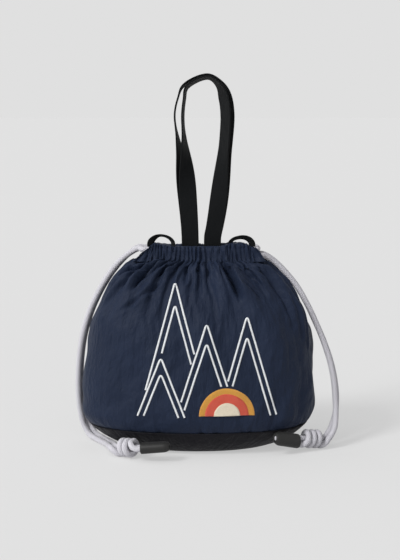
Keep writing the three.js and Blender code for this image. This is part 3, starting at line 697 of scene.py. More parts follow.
class Folds:
    """A row of uneven folds over a share from 0 to 1: each rises to a height of its own."""

    def __init__(self, count, uneven, least, rng, like=None):
        widths = 1 + uneven * (2 * rng.random(count) - 1)
        if like is not None:
            widths = widths * np.diff(like.edges) * count
        self.edges = np.concatenate([[0], np.cumsum(widths)]) / widths.sum()
        self.heights = rng.uniform(least, 1, count) if like is None else like.heights
        self.count = count

    def at(self, share):
        k = np.interp(share, self.edges, np.arange(self.count + 1))
        middles = (self.edges[1:] + self.edges[:-1]) / 2
        return (0.5 - 0.5 * np.cos(2 * np.pi * k)) ** 0.6 * np.interp(share, middles, self.heights)


GATHER_DEPTH = 0.0052
PLEATS = [Folds(29, 0.60, 0.35, random) for _ in range(2)]
UPPER_PLEATS = [Folds(29, 0.30, 0.35, random, like) for like in PLEATS]

# The folds that fan out below the rim: where each lies, from 0 at the left seam to 1 at the right,
# half its width there, its height and how far down it reaches
FRONT_FOLDS = [
    (0.045, 0.04, 0.003, 0.06), (0.12, 0.042, 0.0045, 0.066), (0.2, 0.042, 0.005, 0.062),
    (0.272, 0.036, 0.0046, 0.054), (0.335, 0.034, 0.0036, 0.062), (0.4, 0.036, 0.0034, 0.022),
    (0.465, 0.034, 0.003, 0.019), (0.528, 0.034, 0.0034, 0.021), (0.597, 0.044, 0.006, 0.066),
    (0.705, 0.05, 0.0064, 0.064), (0.812, 0.046, 0.0046, 0.058), (0.893, 0.04, 0.004, 0.066),
    (0.96, 0.036, 0.003, 0.06),
]
BACK_FOLDS = [
    (0.05, 0.04, 0.0032, 0.058), (0.13, 0.044, 0.005, 0.066), (0.215, 0.042, 0.0044, 0.05),
    (0.29, 0.038, 0.0048, 0.06), (0.365, 0.04, 0.0054, 0.064), (0.44, 0.036, 0.0036, 0.042),
    (0.51, 0.036, 0.0046, 0.056), (0.58, 0.036, 0.0038, 0.044), (0.655, 0.042, 0.0052, 0.064),
    (0.735, 0.04, 0.0046, 0.052), (0.815, 0.042, 0.005, 0.062), (0.89, 0.036, 0.0036, 0.05),
    (0.955, 0.038, 0.0032, 0.058),
]


def fold_heights(folds, across, down):
    """How far the folds stand out: a row for each distance down, a column for each place across."""
    heights = np.full((len(down), len(across)), -1.0)
    for middle, half_width, height, reach in folds:
        off = np.minimum(1, np.abs(across - middle) / half_width)
        along = smooth(down / 0.008) * (1 - smooth((down - 0.2 * reach) / reach))
        ridge = along[:, None] * (1.45 * height * (0.5 + 0.5 * np.cos(np.pi * off)) ** 0.75 - 0.0013)
        heights = np.maximum(heights, ridge)
    return heights


def round_folds(pair):
    """One turn of folds: the front ones from left to right, then the back ones."""
    shares = np.arange(HALF) / HALF
    fade = smooth(shares / 0.05) * smooth((1 - shares) / 0.05)
    return np.concatenate([pair[0].at(shares) * fade, pair[1].at(shares) * fade])


def cloth_heights(spacing):
    """Heights of the cloth's rows, evenly spaced along it from the base seam to the neck."""
    t = np.linspace(1, 0, 800) ** 2
    z = NECK_Z - (NECK_Z - SEAM_Z) * t
    out = np.array([(profile(v, 0) + profile(v, 1)) / 2 for v in z])
    at = lengths(np.stack([out, z], -1))
    count = int(round(at[-1] / spacing))
    return np.interp(np.linspace(0, at[-1], count + 1), at, z)


def folded_body(heights, body, out):
    """The body's surface with its main folds, and the way each point stands out from it."""
    down = NECK_Z - heights
    share = np.arange(HALF) / HALF
    folds = [fold_heights(FRONT_FOLDS, share, down), fold_heights(BACK_FOLDS, 1 - share, down)]
    level = unit(out * np.array([1, 1, 0]))
    way = unit(mix(level, out, smooth(down / 0.014)[:, None, None]))
    lift = (0.0050 * np.exp(-down / 0.0024) + 0.0012 * np.exp(-((down / 0.008) ** 2)))[:, None]
    sideways = np.where(level[:, :, 0] < 0, 0.9, 0.45) * level[:, :, 0] ** 4
    return body + way * (np.concatenate(folds, 1) + lift * (1 + sideways))[:, :, None], way


def start_in_folds(heights, folded, way):
    """The cloth before it settles: the folded surface with the rim's gathers on it."""
    down = (NECK_Z - heights)[:, None]
    fine = GATHER_DEPTH * (1 - smooth(down / 0.042)) * round_folds(PLEATS)
    return folded + way * fine[:, :, None]


SETTLE_STEPS = 300
CARRIED_ON = 0.9  # share of its last move that a point keeps at each step
# How firmly lengths are kept at each step: round the cloth, up it, aslant, and over two cells, which
# resists bending
KEEP_ROUND, KEEP_UP, KEEP_SLANT, BEND_ROUND, BEND_UP = 0.9, 0.9, 0.12, 0.10, 0.15


def draw_together(p, a, b, rest, firmness):
    """Moves the points a and b of a cloth towards their rest distance from each other."""
    first, second = p[a], p[b]
    apart = second - first
    size = np.sqrt((apart * apart).sum(-1))
    shift = apart * (0.5 * firmness * (1 - rest / np.maximum(size, 1e-9)))[..., None]
    p[a] = first + shift
    p[b] = second - shift


def settle(start, body, out, spare, rest_up, inner, outer):
    """Lets cloth settle over what fills the bag: it keeps its own lengths, bends softly, and stays
    between an inner and an outer distance from the body's surface. Its two edges are sewn down."""
    rows, columns = start.shape[:2]
    p, last = start.copy(), start.copy()
    every = np.arange(columns)
    level = np.arange(rows)[:, None]
    links = []

    def add(row, column, down_by, round_by, rest, firmness):
        a = (row, column[None])
        b = (row + down_by, (column[None] + round_by) % columns)
        links.append((a, b, rest[row[:, 0]][:, column] if rest.ndim == 2 else rest, firmness))

    def apart(down_by, round_by):
        moved = np.roll(start, -round_by, 1)
        return np.linalg.norm(moved[down_by:] - start[: rows - down_by], axis=2)

    even = apart(0, 1).mean(1) * spare
    across = np.broadcast_to(even[:, None], (rows, columns))
    for parity in (0, 1):
        add(level, every[parity::2], 0, 1, across, KEEP_ROUND)
        row = level[:-1][parity::2]
        add(row, every, 1, 0, rest_up, KEEP_UP)
        add(row, every, 1, 1, apart(1, 1), KEEP_SLANT)
        add(row, every, 1, -1, apart(1, -1), KEEP_SLANT)
        pair = every[(every // 2) % 2 == parity]
        add(level, pair, 0, 2, 2 * across, BEND_ROUND)
        row = level[:-2][(level[:-2, 0] // 2) % 2 == parity]
        add(row, every, 2, 0, rest_up[:-1] + rest_up[1:], BEND_UP)
    for _ in range(SETTLE_STEPS):
        before = p.copy()
        p += CARRIED_ON * (p - last)
        last = before
        for a, b, rest, firmness in links:
            draw_together(p, a, b, rest, firmness)
        height = ((p - body) * out).sum(-1)
        p += out * (np.clip(height, -inner, outer) - height)[..., None]
        p[0], p[-1] = start[0], start[-1]
    return p


ROW_SPACING = 0.0023

heights = cloth_heights(ROW_SPACING)
body = np.array([ring_at(z) for z in heights])
out = normals_of(body)
down = NECK_Z - heights
folded, way = folded_body(heights, body, out)
start = start_in_folds(heights, folded, way)
spare = 1 + 0.026 * (1 - smooth((down - 0.04) / 0.05)) + 0.05 * np.exp(-down / 0.020)
rest_up = np.linalg.norm(np.diff(folded, axis=0), axis=2)
inner = (0.0004 + 0.0016 * smooth(down / 0.03))[:, None]
outer = (0.0026 + 0.0024 * (1 - smooth(down / 0.036)) - 0.0006 * smooth((down - 0.07) / 0.06))[:, None]
body_rows = settle(start, folded, way, spare, rest_up, inner, outer)


# Creases: where each starts and ends, as the place across and the height, half its width, its depth
FRONT_CREASES = [
    (0.655, 0.2195, 0.668, 0.18, 0.0036, 0.0108), (0.557, 0.22, 0.548, 0.204, 0.0022, 0.0034),
    (0.225, 0.2205, 0.215, 0.188, 0.0029, 0.0088), (0.235, 0.219, 0.155, 0.193, 0.0026, 0.0064),
    (0.325, 0.2, 0.205, 0.166, 0.0034, 0.0026), (0.372, 0.2206, 0.345, 0.208, 0.002, 0.0036),
    (0.345, 0.2206, 0.288, 0.203, 0.0026, 0.0078), (0.73, 0.22, 0.795, 0.194, 0.0024, 0.003),
    (0.705, 0.196, 0.76, 0.179, 0.003, 0.003), (0.86, 0.195, 0.845, 0.145, 0.0026, 0.0018),
    (0.893, 0.188, 0.88, 0.125, 0.0028, 0.0018), (0.925, 0.175, 0.915, 0.11, 0.0026, 0.0015),
    (0.13, 0.204, 0.09, 0.17, 0.003, 0.0024), (0.17, 0.206, 0.12, 0.165, 0.003, 0.002),
    (0.44, 0.2206, 0.436, 0.208, 0.0019, 0.003), (0.495, 0.2206, 0.497, 0.207, 0.0019, 0.003),
    (0.405, 0.2206, 0.395, 0.208, 0.0018, 0.0026), (0.6, 0.2206, 0.598, 0.207, 0.0019, 0.0024),
    (0.69, 0.2206, 0.715, 0.203, 0.002, 0.0028), (0.78, 0.22, 0.86, 0.196, 0.0024, 0.0026),
    (0.18, 0.22, 0.07, 0.19, 0.0029, 0.0064), (0.275, 0.2206, 0.225, 0.198, 0.002, 0.0026),
]
BACK_CREASES = [
    (0.18, 0.219, 0.172, 0.188, 0.003, 0.0034), (0.33, 0.219, 0.29, 0.185, 0.003, 0.003),
    (0.545, 0.22, 0.56, 0.198, 0.0026, 0.0028), (0.7, 0.219, 0.745, 0.18, 0.003, 0.0032),
    (0.86, 0.215, 0.905, 0.185, 0.003, 0.0024), (0.42, 0.19, 0.36, 0.165, 0.0036, 0.0014),
    (0.12, 0.185, 0.11, 0.13, 0.0028, 0.0012), (0.885, 0.175, 0.89, 0.115, 0.0028, 0.0012),
]


def creases(lines, across, heights, half_lengths):
    """How far creases sink below the surface: each is a furrow between two low swellings."""
    total = np.zeros((len(heights), len(across)))
    for first, top, second, bottom, half_width, depth in lines:
        t = (top - heights) / (top - bottom)
        off = (across[None] - mix(first, second, t)[:, None]) * half_lengths[:, None] / half_width
        furrow = 1.2 * np.exp(-(np.abs(off) ** 1.5)) - 0.5 * np.exp(-(((np.abs(off) - 2.1) / 1.2) ** 2))
        fade = smooth((t + 0.12) / 0.3) * smooth((1.1 - t) / 0.5)
        total -= depth * fade[:, None] * furrow
    return total


# The soft dents' waves: how long, how high and how many of them
DENT_WAVES = ((0.085, 0.00105, 7), (0.038, 0.00038, 9), (0.019, 0.00014, 10))


def soft_dents(rows):
    """Wide shallow hollows and swellings, leaning a little, from a few seeded waves."""
    rng = np.random.default_rng(5)
    total = np.zeros(rows.shape[:2])
    for length, height, count in DENT_WAVES:
        for _ in range(count):
            lean = rng.normal(0.0, 0.55)
            way = np.array([math.cos(lean), 0.8 * math.cos(lean), -math.sin(lean)])
            wave = rows @ way * (2 * math.pi / (length * rng.uniform(0.8, 1.3)))
            bend = np.sin(rows[:, :, 2] * rng.uniform(20, 60) + rng.uniform(0, 6)) * rng.uniform(0.3, 1.0)
            total += height * np.sin(wave + bend + rng.uniform(0, 6.3))
    edge = smooth((rows[:, :, 2] - SEAM_Z) / 0.02) * smooth((NECK_Z - rows[:, :, 2]) / 0.03)
    return total * edge * 0.75


def seam_puckers(heights, columns):
    """Short upright tucks where the panels are sewn to the base, and a groove along the seam."""
    rng = np.random.default_rng(8)
    share = np.arange(columns) / columns
    above = (heights - SEAM_Z)[:, None]
    tucks = np.zeros((len(heights), columns))
    for _ in range(34):
        place, width = rng.random(), rng.uniform(0.0025, 0.0055)
        off = (np.mod(share - place + 0.5, 1) - 0.5) / width
        tall = rng.uniform(0.006, 0.020)
        tucks -= rng.uniform(0.0004, 0.0011) * np.exp(-(off**2)) * np.exp(-((above / tall) ** 2))
    groove = -0.0011 * np.exp(-above / 0.0016)
    return tucks + groove


def crease(rows, heights, out):
    """The settled cloth with its sharper creases, and the wide soft dents of a half-filled bag."""
    share = np.arange(HALF) / HALF
    half_lengths = np.linalg.norm(np.diff(rows[:, : HALF + 1], axis=1), axis=2).sum(1)
    front = creases(FRONT_CREASES, share, heights, half_lengths)
    back = creases(BACK_CREASES, 1 - share, heights, half_lengths)
    sunk = np.concatenate([front, back], 1)
    sunk += soft_dents(rows) + seam_puckers(heights, rows.shape[1])
    return rows + out * sunk[:, :, None]


body_rows = crease(body_rows, heights, out)


PANEL_THICKNESS = 0.0006
CASING_THICKNESS = 0.0008
BASE_THICKNESS = 0.0009


def with_thickness(obj, thickness):
    """Gives a sheet its thickness, on its inner side, with a rim."""
    solid = obj.modifiers.new("thickness", "SOLIDIFY")
    solid.thickness = thickness
    solid.offset = -1


CLOTH_ROUND = 0.72  # how long the flat cloth is all round the body


def cloth_uv(rows, columns):
    """Where each point lies on the flat cloth, in metres."""
    u = np.linspace(0, CLOTH_ROUND, columns)
    v = np.concatenate([[0], np.cumsum(np.linalg.norm(np.diff(rows, axis=0), axis=2).mean(1))])
    return spread(u, v)


# Casings: the folded hem at the rim, gathered into uneven pleats. The rim isn't level: at each x, how
# far it stands above its even height
FRONT_RIM = [
    (-0.059, -0.003), (-0.055, 0.001), (-0.0505, 0.004), (-0.044, 0.003), (-0.039, 0.002), (-0.032, 0),
    (-0.015, -0.0004), (0.026, -0.0002), (0.031, 0.0008), (0.037, 0.0038), (0.044, 0.0032), (0.051, 0.0044),
    (0.058, 0.0016), (0.063, -0.001),
]
BACK_RIM = [
    (-0.059, -0.0028), (-0.052, 0.0016), (-0.044, 0.0006), (-0.03, -0.0006), (-0.01, 0.0004),
    (0.012, -0.0008), (0.03, 0.0004), (0.04, 0.002), (0.052, 0.0014), (0.067, -0.003),
]

# The casings' outer face and the turn over the rim: y, z, how much of the pleats shows, which pattern
# from low to high, how far the ends flare
CASING_OUTSIDE = [
    (0.0208, 0.2205, 1, 0, 1), (0.0201, 0.2214, 1, 0, 0.95), (0.0193, 0.2226, 0.99, 0.05, 0.89),
    (0.0186, 0.2238, 0.98, 0.1, 0.83), (0.018, 0.2252, 1, 0.2, 0.75), (0.0175, 0.2268, 1, 0.35, 0.65),
    (0.0171, 0.2288, 1, 0.5, 0.53), (0.0168, 0.2305, 1, 0.65, 0.48), (0.0166, 0.2325, 1, 0.8, 0.37),
    (0.0164, 0.2345, 0.98, 0.95, 0.24), (0.0161, 0.236, 0.92, 1, 0.09), (0.0156, 0.2372, 0.85, 1, 0.04),
    (0.0147, 0.2381, 0.75, 1, 0), (0.0134, 0.2386, 0.6, 1, 0), (0.0117, 0.2388, 0.45, 1, 0),
]
CASING_INSIDE = [
    (0.01, 0.2387, 0.35, 1, 0), (0.0085, 0.2382, 0.35, 1, 0), (0.0076, 0.2372, 0.35, 1, 0.03),
    (0.0072, 0.2355, 0.35, 0.9, 0.08), (0.0071, 0.232, 0.35, 0.7, 0.24),
    (0.0071, 0.228, 0.35, 0.4, 0.47), (0.0072, 0.224, 0.35, 0.1, 0.73), (0.0074, 0.2214, 0.3, 0, 0.9),
    (0.009, 0.2207, 0.2, 0, 1), (0.012, 0.2205, 0.2, 0, 1), (0.0165, 0.2204, 0.6, 0, 1),
    (0.0208, 0.2205, 1, 0, 1),
]
CASING_FLARE = [(-0.0165, 0.0118), (-0.0130, 0.0105)]
FACING = (-1, 1)  # which way along y the front and the back face
HEM_LAYER = 0.0008
HEM_FROM_Y = 0.0155  # the hem lies over the casing where the neck is at least this far out
EASED_ROWS, EASED_COLUMNS, EASINGS = 3.2, 6, 7  # how widely the neck's seam is eased, and how often


def flare_at(side, x):
    along = (x - MOUTH_SHIFT) / CASING_HALF_LENGTH
    ends = np.clip((np.abs(along) - 0.80) / 0.20, 0, 1) ** 1.5
    return np.where(along < 0, CASING_FLARE[side][0], CASING_FLARE[side][1]) * ends


def casing_rows(side, x, share, outline):
    """Rows of a casing's cloth at places x along it, whose pleats run on from those shares below."""
    low, high = PLEATS[side].at(share), UPPER_PLEATS[side].at(share)
    flare = flare_at(side, x)
    rise = np.interp(x, *np.transpose((FRONT_RIM, BACK_RIM)[side]))
    rows = []
    for y, z, shows, upper, opened in outline:
        pleat = mix(low, high, upper) * shows
        dip = -0.0010 * (1 - pleat) if z > 0.2375 else 0
        lifted = z + dip + rise * smooth((z - 0.2225) / 0.013)
        rows.append(np.stack([x + flare * opened, FACING[side] * (y + GATHER_DEPTH * pleat), lifted], -1))
    return np.array(rows)


def hem_over(side, panel, share):
    """A panel's cloth with its top carried up the outside of the casing, as far as it lies in front
    of it, and eased where the two meet. Returns the first and last columns of that part, and its rows."""
    neck = panel[-1]
    spots = np.linspace(-1, 1, 801) * CASING_HALF_LENGTH + MOUTH_SHIFT
    x = np.interp(neck[:, 0], spots + flare_at(side, spots), spots)
    far_out = np.abs(neck[:, 1]) > HEM_FROM_Y
    over = np.flatnonzero(far_out & (np.abs(x - MOUTH_SHIFT) < CASING_HALF_LENGTH - 0.001))
    first, last = over.min(), over.max() + 1
    outside = casing_rows(side, x[first:last], share[first:last], CASING_OUTSIDE[:12])
    away = neck[first:last] - outside[0]
    climb = (outside[:, :, 2] - outside[0, :, 2])[:, :, None]
    layer = HEM_LAYER * smooth(climb / 0.002) * (1 - 1.7 * smooth((climb - 0.0135) / 0.003))
    rows = outside + away * np.exp(-climb / 0.005) + np.array([0, FACING[side], 0]) * layer
    whole = np.concatenate([panel[:, first:last], rows[1:]])
    seam = len(panel) - 1
    near = np.exp(-(((np.arange(len(whole)) - seam) / EASED_ROWS) ** 2))
    place = np.arange(last - first)
    near = near[:, None] * smooth(place / EASED_COLUMNS) * smooth((last - first - 1 - place) / EASED_COLUMNS)
    near[-1] = 0
    for _ in range(EASINGS):
        middle = (whole[2:] + whole[:-2]) / 2
        whole[1:-1] += 0.5 * near[1:-1, :, None] * (middle - whole[1:-1])
    return first, last, whole


def make_panel(side, name):
    """A panel from the base seam to the rim. Its two parts are sewn into one along the neck."""
    span = slice(side * HALF, (side + 1) * HALF + 1)
    rows = closed[:, span].copy()
    share = np.append(np.arange(HALF) / HALF, 1.0)
    first, last, whole = hem_over(side, rows, share)
    rows[:, first:last] = whole[: len(rows)]
    upper = whole[len(rows) - 1 :]
    v = uv[-1, 0, 1] + lengths(upper[:, (last - first) // 2])
    hem_uv = spread(uv[-1, span, 0][first:last], v)
    parts = [
        grid(f"{name}_cloth", rows, uv[:, span], NAVY_CLOTH),
        grid(f"{name}_hem", upper, hem_uv, NAVY_CLOTH),
    ]
    panel = join(f"{name}_cloth", parts)
    sewn = bmesh.new()
    sewn.from_mesh(panel.data)
    bmesh.ops.remove_doubles(sewn, verts=sewn.verts, dist=1e-6)
    sewn.to_mesh(panel.data)
    sewn.free()
    with_thickness(panel, PANEL_THICKNESS)
    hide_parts(name)


uv = cloth_uv(body_rows, 2 * HALF + 1)
closed = np.concatenate([body_rows, body_rows[:, :1]], 1)
make_panel(0, "front_panel")
make_panel(1, "back_panel")


# Base: black nylon that curves up from the floor to the seam
def make_base():
    z = SEAM_Z * np.linspace(0, 1, 22) ** 1.5
    rows = np.array([ring_at(max(v, 0.0)) for v in z])
    out = normals_of(rows) * np.array([1, 1, 0.3])
    share = np.arange(2 * HALF) / (2 * HALF)
    level = (z / SEAM_Z)[:, None]
    wave = np.sin(2 * np.pi * (5 * share + 0.3 * level)) * np.sin(2 * np.pi * (13 * share + 0.2))
    rows = rows + out * (0.0008 * wave * np.sin(np.pi * level))[:, :, None]
    rows[:, :, 2] = np.maximum(rows[:, :, 2], 0)
    middle = rows[0].mean(0)
    inner = [mix(middle, rows[0], s) for s in np.linspace(0.02, 0.96, 9)]
    rows = np.concatenate([inner, rows])
    uv = cloth_uv(rows, 2 * HALF + 1)
    base = grid("base_cloth", rows, uv, BLACK_CLOTH, ring=True)
    with_thickness(base, BASE_THICKNESS)
    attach(base, "bag")
    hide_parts("base_panel")


make_base()


def make_casing(side):
    name = ("front", "back")[side]
    x = np.linspace(-1, 1, 381) * CASING_HALF_LENGTH + MOUTH_SHIFT
    neck = body_rows[-1, side * HALF : (side + 1) * HALF]
    order = np.argsort(neck[:, 0])
    share = np.interp(x + flare_at(side, x), neck[order, 0], (np.arange(HALF) / HALF)[order])
    rows = casing_rows(side, x, share, CASING_OUTSIDE + CASING_INSIDE)
    v = 0.25 + lengths(rows[:, 10])
    casing = grid(f"{name}_casing_cloth", rows, spread(np.linspace(0, 0.30, len(x)), v), NAVY_CLOTH)
    if side == 1:
        casing.data.flip_normals()
    with_thickness(casing, CASING_THICKNESS)
    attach(casing, "bag")
    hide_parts(f"{name}_casing")


for side in (0, 1):
    make_casing(side)


# Flat tape
HANDLE_TAPE = (0.020, 0.0016)  # width and thickness
LOOP_TAPE = (0.008, 0.0012)
HANDLE_STEP = 0.0016
LOOP_STEP = 0.0009
BINDING_TAPE = (0.0098, 0.0023)


def tape(name, path, across, size):
    """A tape along a path. across is the direction of its width at each point."""
    tangents = tangents_of(path)
    across = unit(across - tangents * (across * tangents).sum(-1, keepdims=True))
    face = np.cross(tangents, across)
    w, h = size[0] / 2, size[1] / 2
    edge = [(w - 0.00045, h * 0.97), (w - 0.00012, h * 0.72), (w, h * 0.3)]
    flat = [(x * (w - 0.0009), h) for x in np.linspace(-1, 1, 13)]
    top = [(-x, y) for x, y in edge[::-1]] + flat + edge
    outline = np.array(top + [(-x, -y) for x, y in top])
    points = path[:, None] + outline[None, :, :1] * across[:, None] + outline[None, :, 1:] * face[:, None]
    round_it = lengths(np.vstack([outline, outline[:1]]))
    return grid(name, points, spread(round_it, lengths(path)), BLACK_TAPE, ring=True, caps=True)


def turned_across(path, turned):
    """The way of a tape's width: sideways in its loop where turned is 0, and along y at a right angle."""
    away = unit(np.cross(np.gradient(path, axis=0), (0, 1, 0)))
    return np.array([0.0, 1.0, 0.0]) * np.sin(turned)[:, None] - away * np.cos(turned)[:, None]


# The handles' middle line, as shares of spread and height, from each foot to the top
HANDLE_SHAPE = {
    "left": [
        (0, 0), (0.06, 0.1), (0.2, 0.23), (0.56, 0.5), (0.82, 0.63), (1, 0.77), (0.78, 0.87), (0.44, 0.94),
    ],
    "right": [
        (0, 0), (0.02, 0.04), (0.16, 0.1), (0.4, 0.23), (0.76, 0.5), (0.92, 0.63), (1, 0.77), (0.86, 0.87),
        (0.5, 0.95),
    ],
}
HANDLES = {
    "front": {"side": -1, "left": 0.0215, "right": 0.028, "height": 0.1917, "left_turn": 83},
    "back": {"side": 1, "left": 0.031, "right": 0.0325, "height": 0.1937, "left_turn": 89},
}
HANDLE_SPREAD = 0.013
HANDLE_LEAN = 0.002
HANDLE_FOOT_Z = 0.2226
CROWN_SHIFT = 0.008
CROWN_TURN = 79  # degrees that the webbing has turned at the top, and on the right side below it
RIGHT_TURN = 57
TURN_FROM = (0.22, 0.12)  # share of the height where the turn starts, left and right


def make_handle(name, loop):
    """A strap from the inside of the casing, up round the loop and back down into the casing."""
    side = loop["side"]

    def place(out, up, hand, half):
        x = MOUTH_SHIFT + hand * mix(HANDLE_SPREAD, half, out)
        return x, side * mix(HANDLE_AXIS[0], HANDLE_LEAN, up), HANDLE_AXIS[1] + loop["height"] * up

    left = [place(*spot, -1, loop["left"]) for spot in HANDLE_SHAPE["left"]]
    right = [place(*spot, 1, loop["right"]) for spot in HANDLE_SHAPE["right"]][::-1]
    top = (MOUTH_SHIFT + CROWN_SHIFT, side * HANDLE_LEAN, HANDLE_AXIS[1] + loop["height"])
    curve = through(left + [top] + right)
    foot = np.linspace(HANDLE_FOOT_Z, HANDLE_AXIS[1] - 0.001, 8)
    low = [np.stack([np.full(8, end[0]), np.full(8, end[1]), foot], -1) for end in (left[0], right[-1])]
    path = evenly_spaced(np.vstack([low[0], curve, low[1][::-1]]), HANDLE_STEP)
    up = (path[:, 2] - HANDLE_AXIS[1]) / loop["height"]
    is_left = np.arange(len(path)) < np.argmax(path[:, 2])
    most = mix(CROWN_TURN, np.where(is_left, loop["left_turn"], RIGHT_TURN), smooth((1 - up) / 0.13))
    turned = np.radians(most) * smooth((up - np.where(is_left, *TURN_FROM)) / 0.5)
    strap = tape(f"{name}_handle_webbing", path, turned_across(path, turned), HANDLE_TAPE)
    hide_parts(f"{name}_handle", f"{name}_strap_end_left", f"{name}_strap_end_right")
    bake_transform(strap)


for name, loop in HANDLES.items():
    make_handle(name, loop)


# Pull loops: narrow tape arched over the rim, its ends sewn into the front casing
PULL_LOOPS = {
    "left": {
        "middle": -0.042,
        "arch": [
            (-0.0134, -0.0061), (-0.0131, -0.0012), (-0.0088, 0.004), (-0.0035, 0.0066), (0.003, 0.0063),
            (0.009, 0.0036), (0.0127, -0.0008), (0.0133, -0.0061),
        ],
        "turned": [22, 20, 44, 66, 68, 62, 56, 56],
    },
    "right": {
        "middle": 0.05,
        "arch": [
            (-0.0133, -0.0061), (-0.0128, -0.0016), (-0.009, 0.0022), (-0.003, 0.0043), (0.004, 0.0045),
            (0.0098, 0.002), (0.0129, -0.0022), (0.0134, -0.0061),
        ],
        "turned": [62, 60, 58, 56, 50, 38, 24, 24],
    },
}


def make_pull_loop(name, loop):
    middle, y = loop["middle"], -PULL_AXIS[0]
    spots = [(middle + x, y, PULL_AXIS[1] + z) for x, z in loop["arch"]]
    path = evenly_spaced(through(spots), LOOP_STEP)
    share = lengths(path) / lengths(path)[-1]
    turned = np.radians(np.interp(share, np.linspace(0, 1, 8), loop["turned"]))
    strap = tape(f"{name}_pull_loop_tape", path, turned_across(path, turned), LOOP_TAPE)
    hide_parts(f"{name}_pull_loop")
    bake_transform(strap)


for name, loop in PULL_LOOPS.items():
    make_pull_loop(name, loop)


# The drawstrings' hidden runs through the casings
def make_inner_run(name, side, lane):
    front = [
        (-0.0142, -0.0123), (0, -0.0123), (0.0441, -0.0123), (0.063, -0.0123), (0.0645, -0.0123),
        (0.0652, -0.009), (0.0658, -0.004),
    ]
    spots = front + [(x, -y) for x, y in front[::-1]]
    path = evenly_spaced(through([(MOUTH_SHIFT - side * x, y, lane) for x, y in spots]), CORD_STEP)
    run = cord(f"{name}_inner_run_braid", path)
    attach(run, "bag")
    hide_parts(f"{name}_drawstring_inner_run")


make_inner_run("left", -1, UPPER_LANE)
make_inner_run("right", 1, LOWER_LANE)


# Bindings: tape folded over the raw edges of the side seams and the base seam, inside the bag
SIDE_SEAM = (0.0395, 0.2095)  # the heights that the tape runs between
SIDE_INSET = 0.0088
BASE_INSET = 0.0071


def make_binding(name, edge, way, inset):
    strip = tape(f"{name}_seam_binding_tape", edge + way * inset, way, BINDING_TAPE)
    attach(strip, "bag")
    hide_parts(f"{name}_seam_binding")


for name, column, inward in (("left", 0, 1.0), ("right", HALF, -1.0)):
    edge = np.array([ring_at(z)[column] for z in np.linspace(*SIDE_SEAM, 90)])
    slope = tangents_of(edge)
    to_middle = np.array([inward, 0, 0])
    make_binding(name, edge, unit(to_middle - slope * (slope @ to_middle)[:, None]), SIDE_INSET)

edge = ring_at(SEAM_Z)
outward = normals_of(np.array([edge, ring_at(SEAM_Z + 0.001)]))[0]
make_binding("base", edge, unit(outward * np.array([-1, -1, 0])), BASE_INSET)


# Embroidery on the front panel: peaks drawn in double rows of white stitch, and a low sun
front_rows = body_rows[:, : HALF + 1]
front_faces = cells(*front_rows.shape[:2])[1]
FRONT_SURFACE = BVHTree.FromPolygons([tuple(p) for p in front_rows.reshape(-1, 3)], front_faces)


def on_front(x, z):
    """The place on the front panel behind a point of the design, and which way the cloth faces."""
    place, normal, _, _ = FRONT_SURFACE.ray_cast(Vector((x, -0.2, z)), Vector((0, 1, 0)))
    if normal.y > 0:
        normal = -normal
    return np.array(place), np.array(normal)


def drawn_line(points, spacing):
    """A line of the design, x and z, with its points evenly spaced."""
    flat = evenly_spaced(np.array([(x, 0, z) for x, z in points]), spacing)
    return [(x, z) for x, _, z in flat]


def stitched_line(line):
    """A row of satin stitch along a line of the design: a low rounded ridge on the cloth."""
    width, height = STITCH_SIZE
    spots = [on_front(x, z) for x, z in drawn_line(line, 0.0012)]
    path = np.array([place for place, _ in spots])
    face = np.array([normal for _, normal in spots])
    across = unit(np.cross(face, tangents_of(path)))
    half = [(1, -0.3), (0.96, 0.35), (0.8, 0.68), (0.45, 0.93)]
    over = [(-x, y) for x, y in half] + [(0, 1)] + half[::-1]
    points = np.stack([path + across * (width / 2 * x) + face * (height * y) for x, y in over], 1)
    uv = np.broadcast_arrays(lengths(path)[:, None], np.linspace(0, width, len(over))[None])
    return grid("stitch", points, np.stack(uv, -1), STITCH_WHITE)


def turned_line(spots, radius):
    """A line through corners, each rounded off."""
    spots = [np.array(s, float) for s in spots]
    line = [spots[0]]
    for before, corner, after in zip(spots[:-2], spots[1:-1], spots[2:]):
        start = corner + (before - corner) / np.linalg.norm(before - corner) * radius
        end = corner + (after - corner) / np.linalg.norm(after - corner) * radius
        for t in np.linspace(0, 1, 9):
            line.append((1 - t) ** 2 * start + 2 * t * (1 - t) * corner + t**2 * end)
    return [tuple(p) for p in line + [spots[-1]]]


def filled_shape(name, outline, material, height, angle):
    """A filled patch of stitches: rows across an outline of the design, crowned at its edges."""
    outline = np.array(outline)
    middle = outline.mean(0)
    rings = []
    rim = [(1.0, -0.3), (0.985, 0.55), (0.95, 0.9)]
    for share, rise in rim + [(inner, 1.0) for inner in (0.85, 0.7, 0.52, 0.34, 0.16, 0.02)]:
        ring = []
        for x, z in middle + (outline - middle) * share:
            place, normal = on_front(x, z)
            ring.append(place + normal * height * rise)
        rings.append(ring)
    points = np.array(rings)
    turn = math.radians(angle)
    spots = np.concatenate([points, points[:, :1]], 1)
    u = spots[:, :, 0] * math.cos(turn) + spots[:, :, 2] * math.sin(turn)
    v = spots[:, :, 2] * math.cos(turn) - spots[:, :, 0] * math.sin(turn)
    return grid(name, points, np.stack([u, v], -1), material, ring=True)


STITCH_WHITE = thread("thread_white", THREAD_WHITE)
STITCH_ORANGE = thread("thread_orange", THREAD_ORANGE, 0.25)
STITCH_MUSTARD = thread("thread_mustard", THREAD_MUSTARD, -0.2)
STITCH_CREAM = thread("thread_cream", THREAD_CREAM, 0.35)


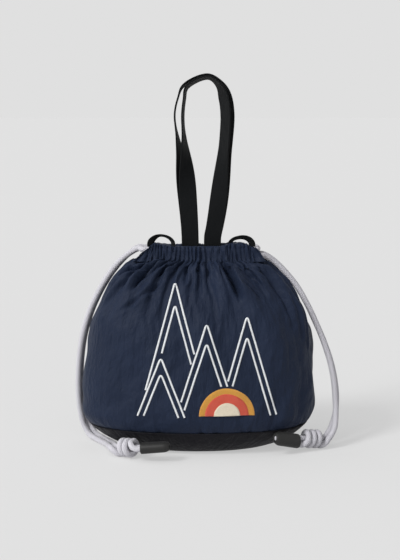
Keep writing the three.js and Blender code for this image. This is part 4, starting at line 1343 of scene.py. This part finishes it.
# The peaks, from the nearest back: where each stands, how high and how wide its foot is
PEAKS = [(-0.042, 0.118, 0.054), (0.01, 0.156, 0.07), (-0.026, 0.201, 0.084), (0.056, 0.164, 0.068)]
PEAK_FOOT = 0.049
SECOND_ROW = 0.0066  # how far the second row of stitches lies inside a peak's outline
PEAK_ROUNDING = 0.006
STITCH_SIZE = (0.0022, 0.0007)  # width and height of a row
SUN = (0.033, 0.05, 0.032)  # x, z and radius
SUN_GAP = 0.0022
PEAK_GAP = 0.0024


def hidden_in_design(x, z, nearer):
    """Whether a point of the design lies behind the sun or a nearer peak."""
    if math.hypot(x - SUN[0], z - SUN[1]) < SUN[2] + SUN_GAP:
        return True
    for middle, top, foot in nearer:
        half = foot / 2 * (top - z) / (top - PEAK_FOOT)
        if abs(x - middle) < half + PEAK_GAP:
            return True
    return False


def embroider_peaks():
    lines = []
    for k, (middle, top, foot) in enumerate(PEAKS):
        slant = math.hypot(foot / 2, top - PEAK_FOOT)
        for inset in (0.0, SECOND_ROW):
            low = middle - foot / 2 + inset * slant / (top - PEAK_FOOT)
            peak = top - inset * slant / (foot / 2)
            spots = [(low, PEAK_FOOT), (middle, peak), (2 * middle - low, PEAK_FOOT)]
            run = []
            for x, z in drawn_line(turned_line(spots, PEAK_ROUNDING), 0.001) + [SUN[:2]]:
                if not hidden_in_design(x, z, PEAKS[:k]):
                    run.append((x, z))
                    continue
                if len(run) > 5:
                    lines.append(stitched_line(run))
                run = []
    join("peaks_embroidery", lines)


def half_disc(radius):
    x, z, _ = SUN
    arc = [(x + radius * math.cos(a), z + radius * math.sin(a)) for a in np.linspace(0, math.pi, 28)]
    return arc + [(x - radius + 2 * radius * t, z) for t in np.linspace(0, 1, 16)[1:-1]]


# The sun's half discs: share of its radius, thread, height, slant of the stitches in degrees
SUN_DISCS = {
    "outer": (1, STITCH_MUSTARD, 0.0008, 20),
    "middle": (0.8, STITCH_ORANGE, 0.0015, 70),
    "inner": (0.48, STITCH_CREAM, 0.0022, 110),
}


def embroider_sun():
    patches = []
    for name, (share, thread_material, height, angle) in SUN_DISCS.items():
        outline = half_disc(share * SUN[2])
        patches.append(filled_shape(f"sun_{name}", outline, thread_material, height, angle))
    join("sun_embroidery", patches)


embroider_peaks()
embroider_sun()
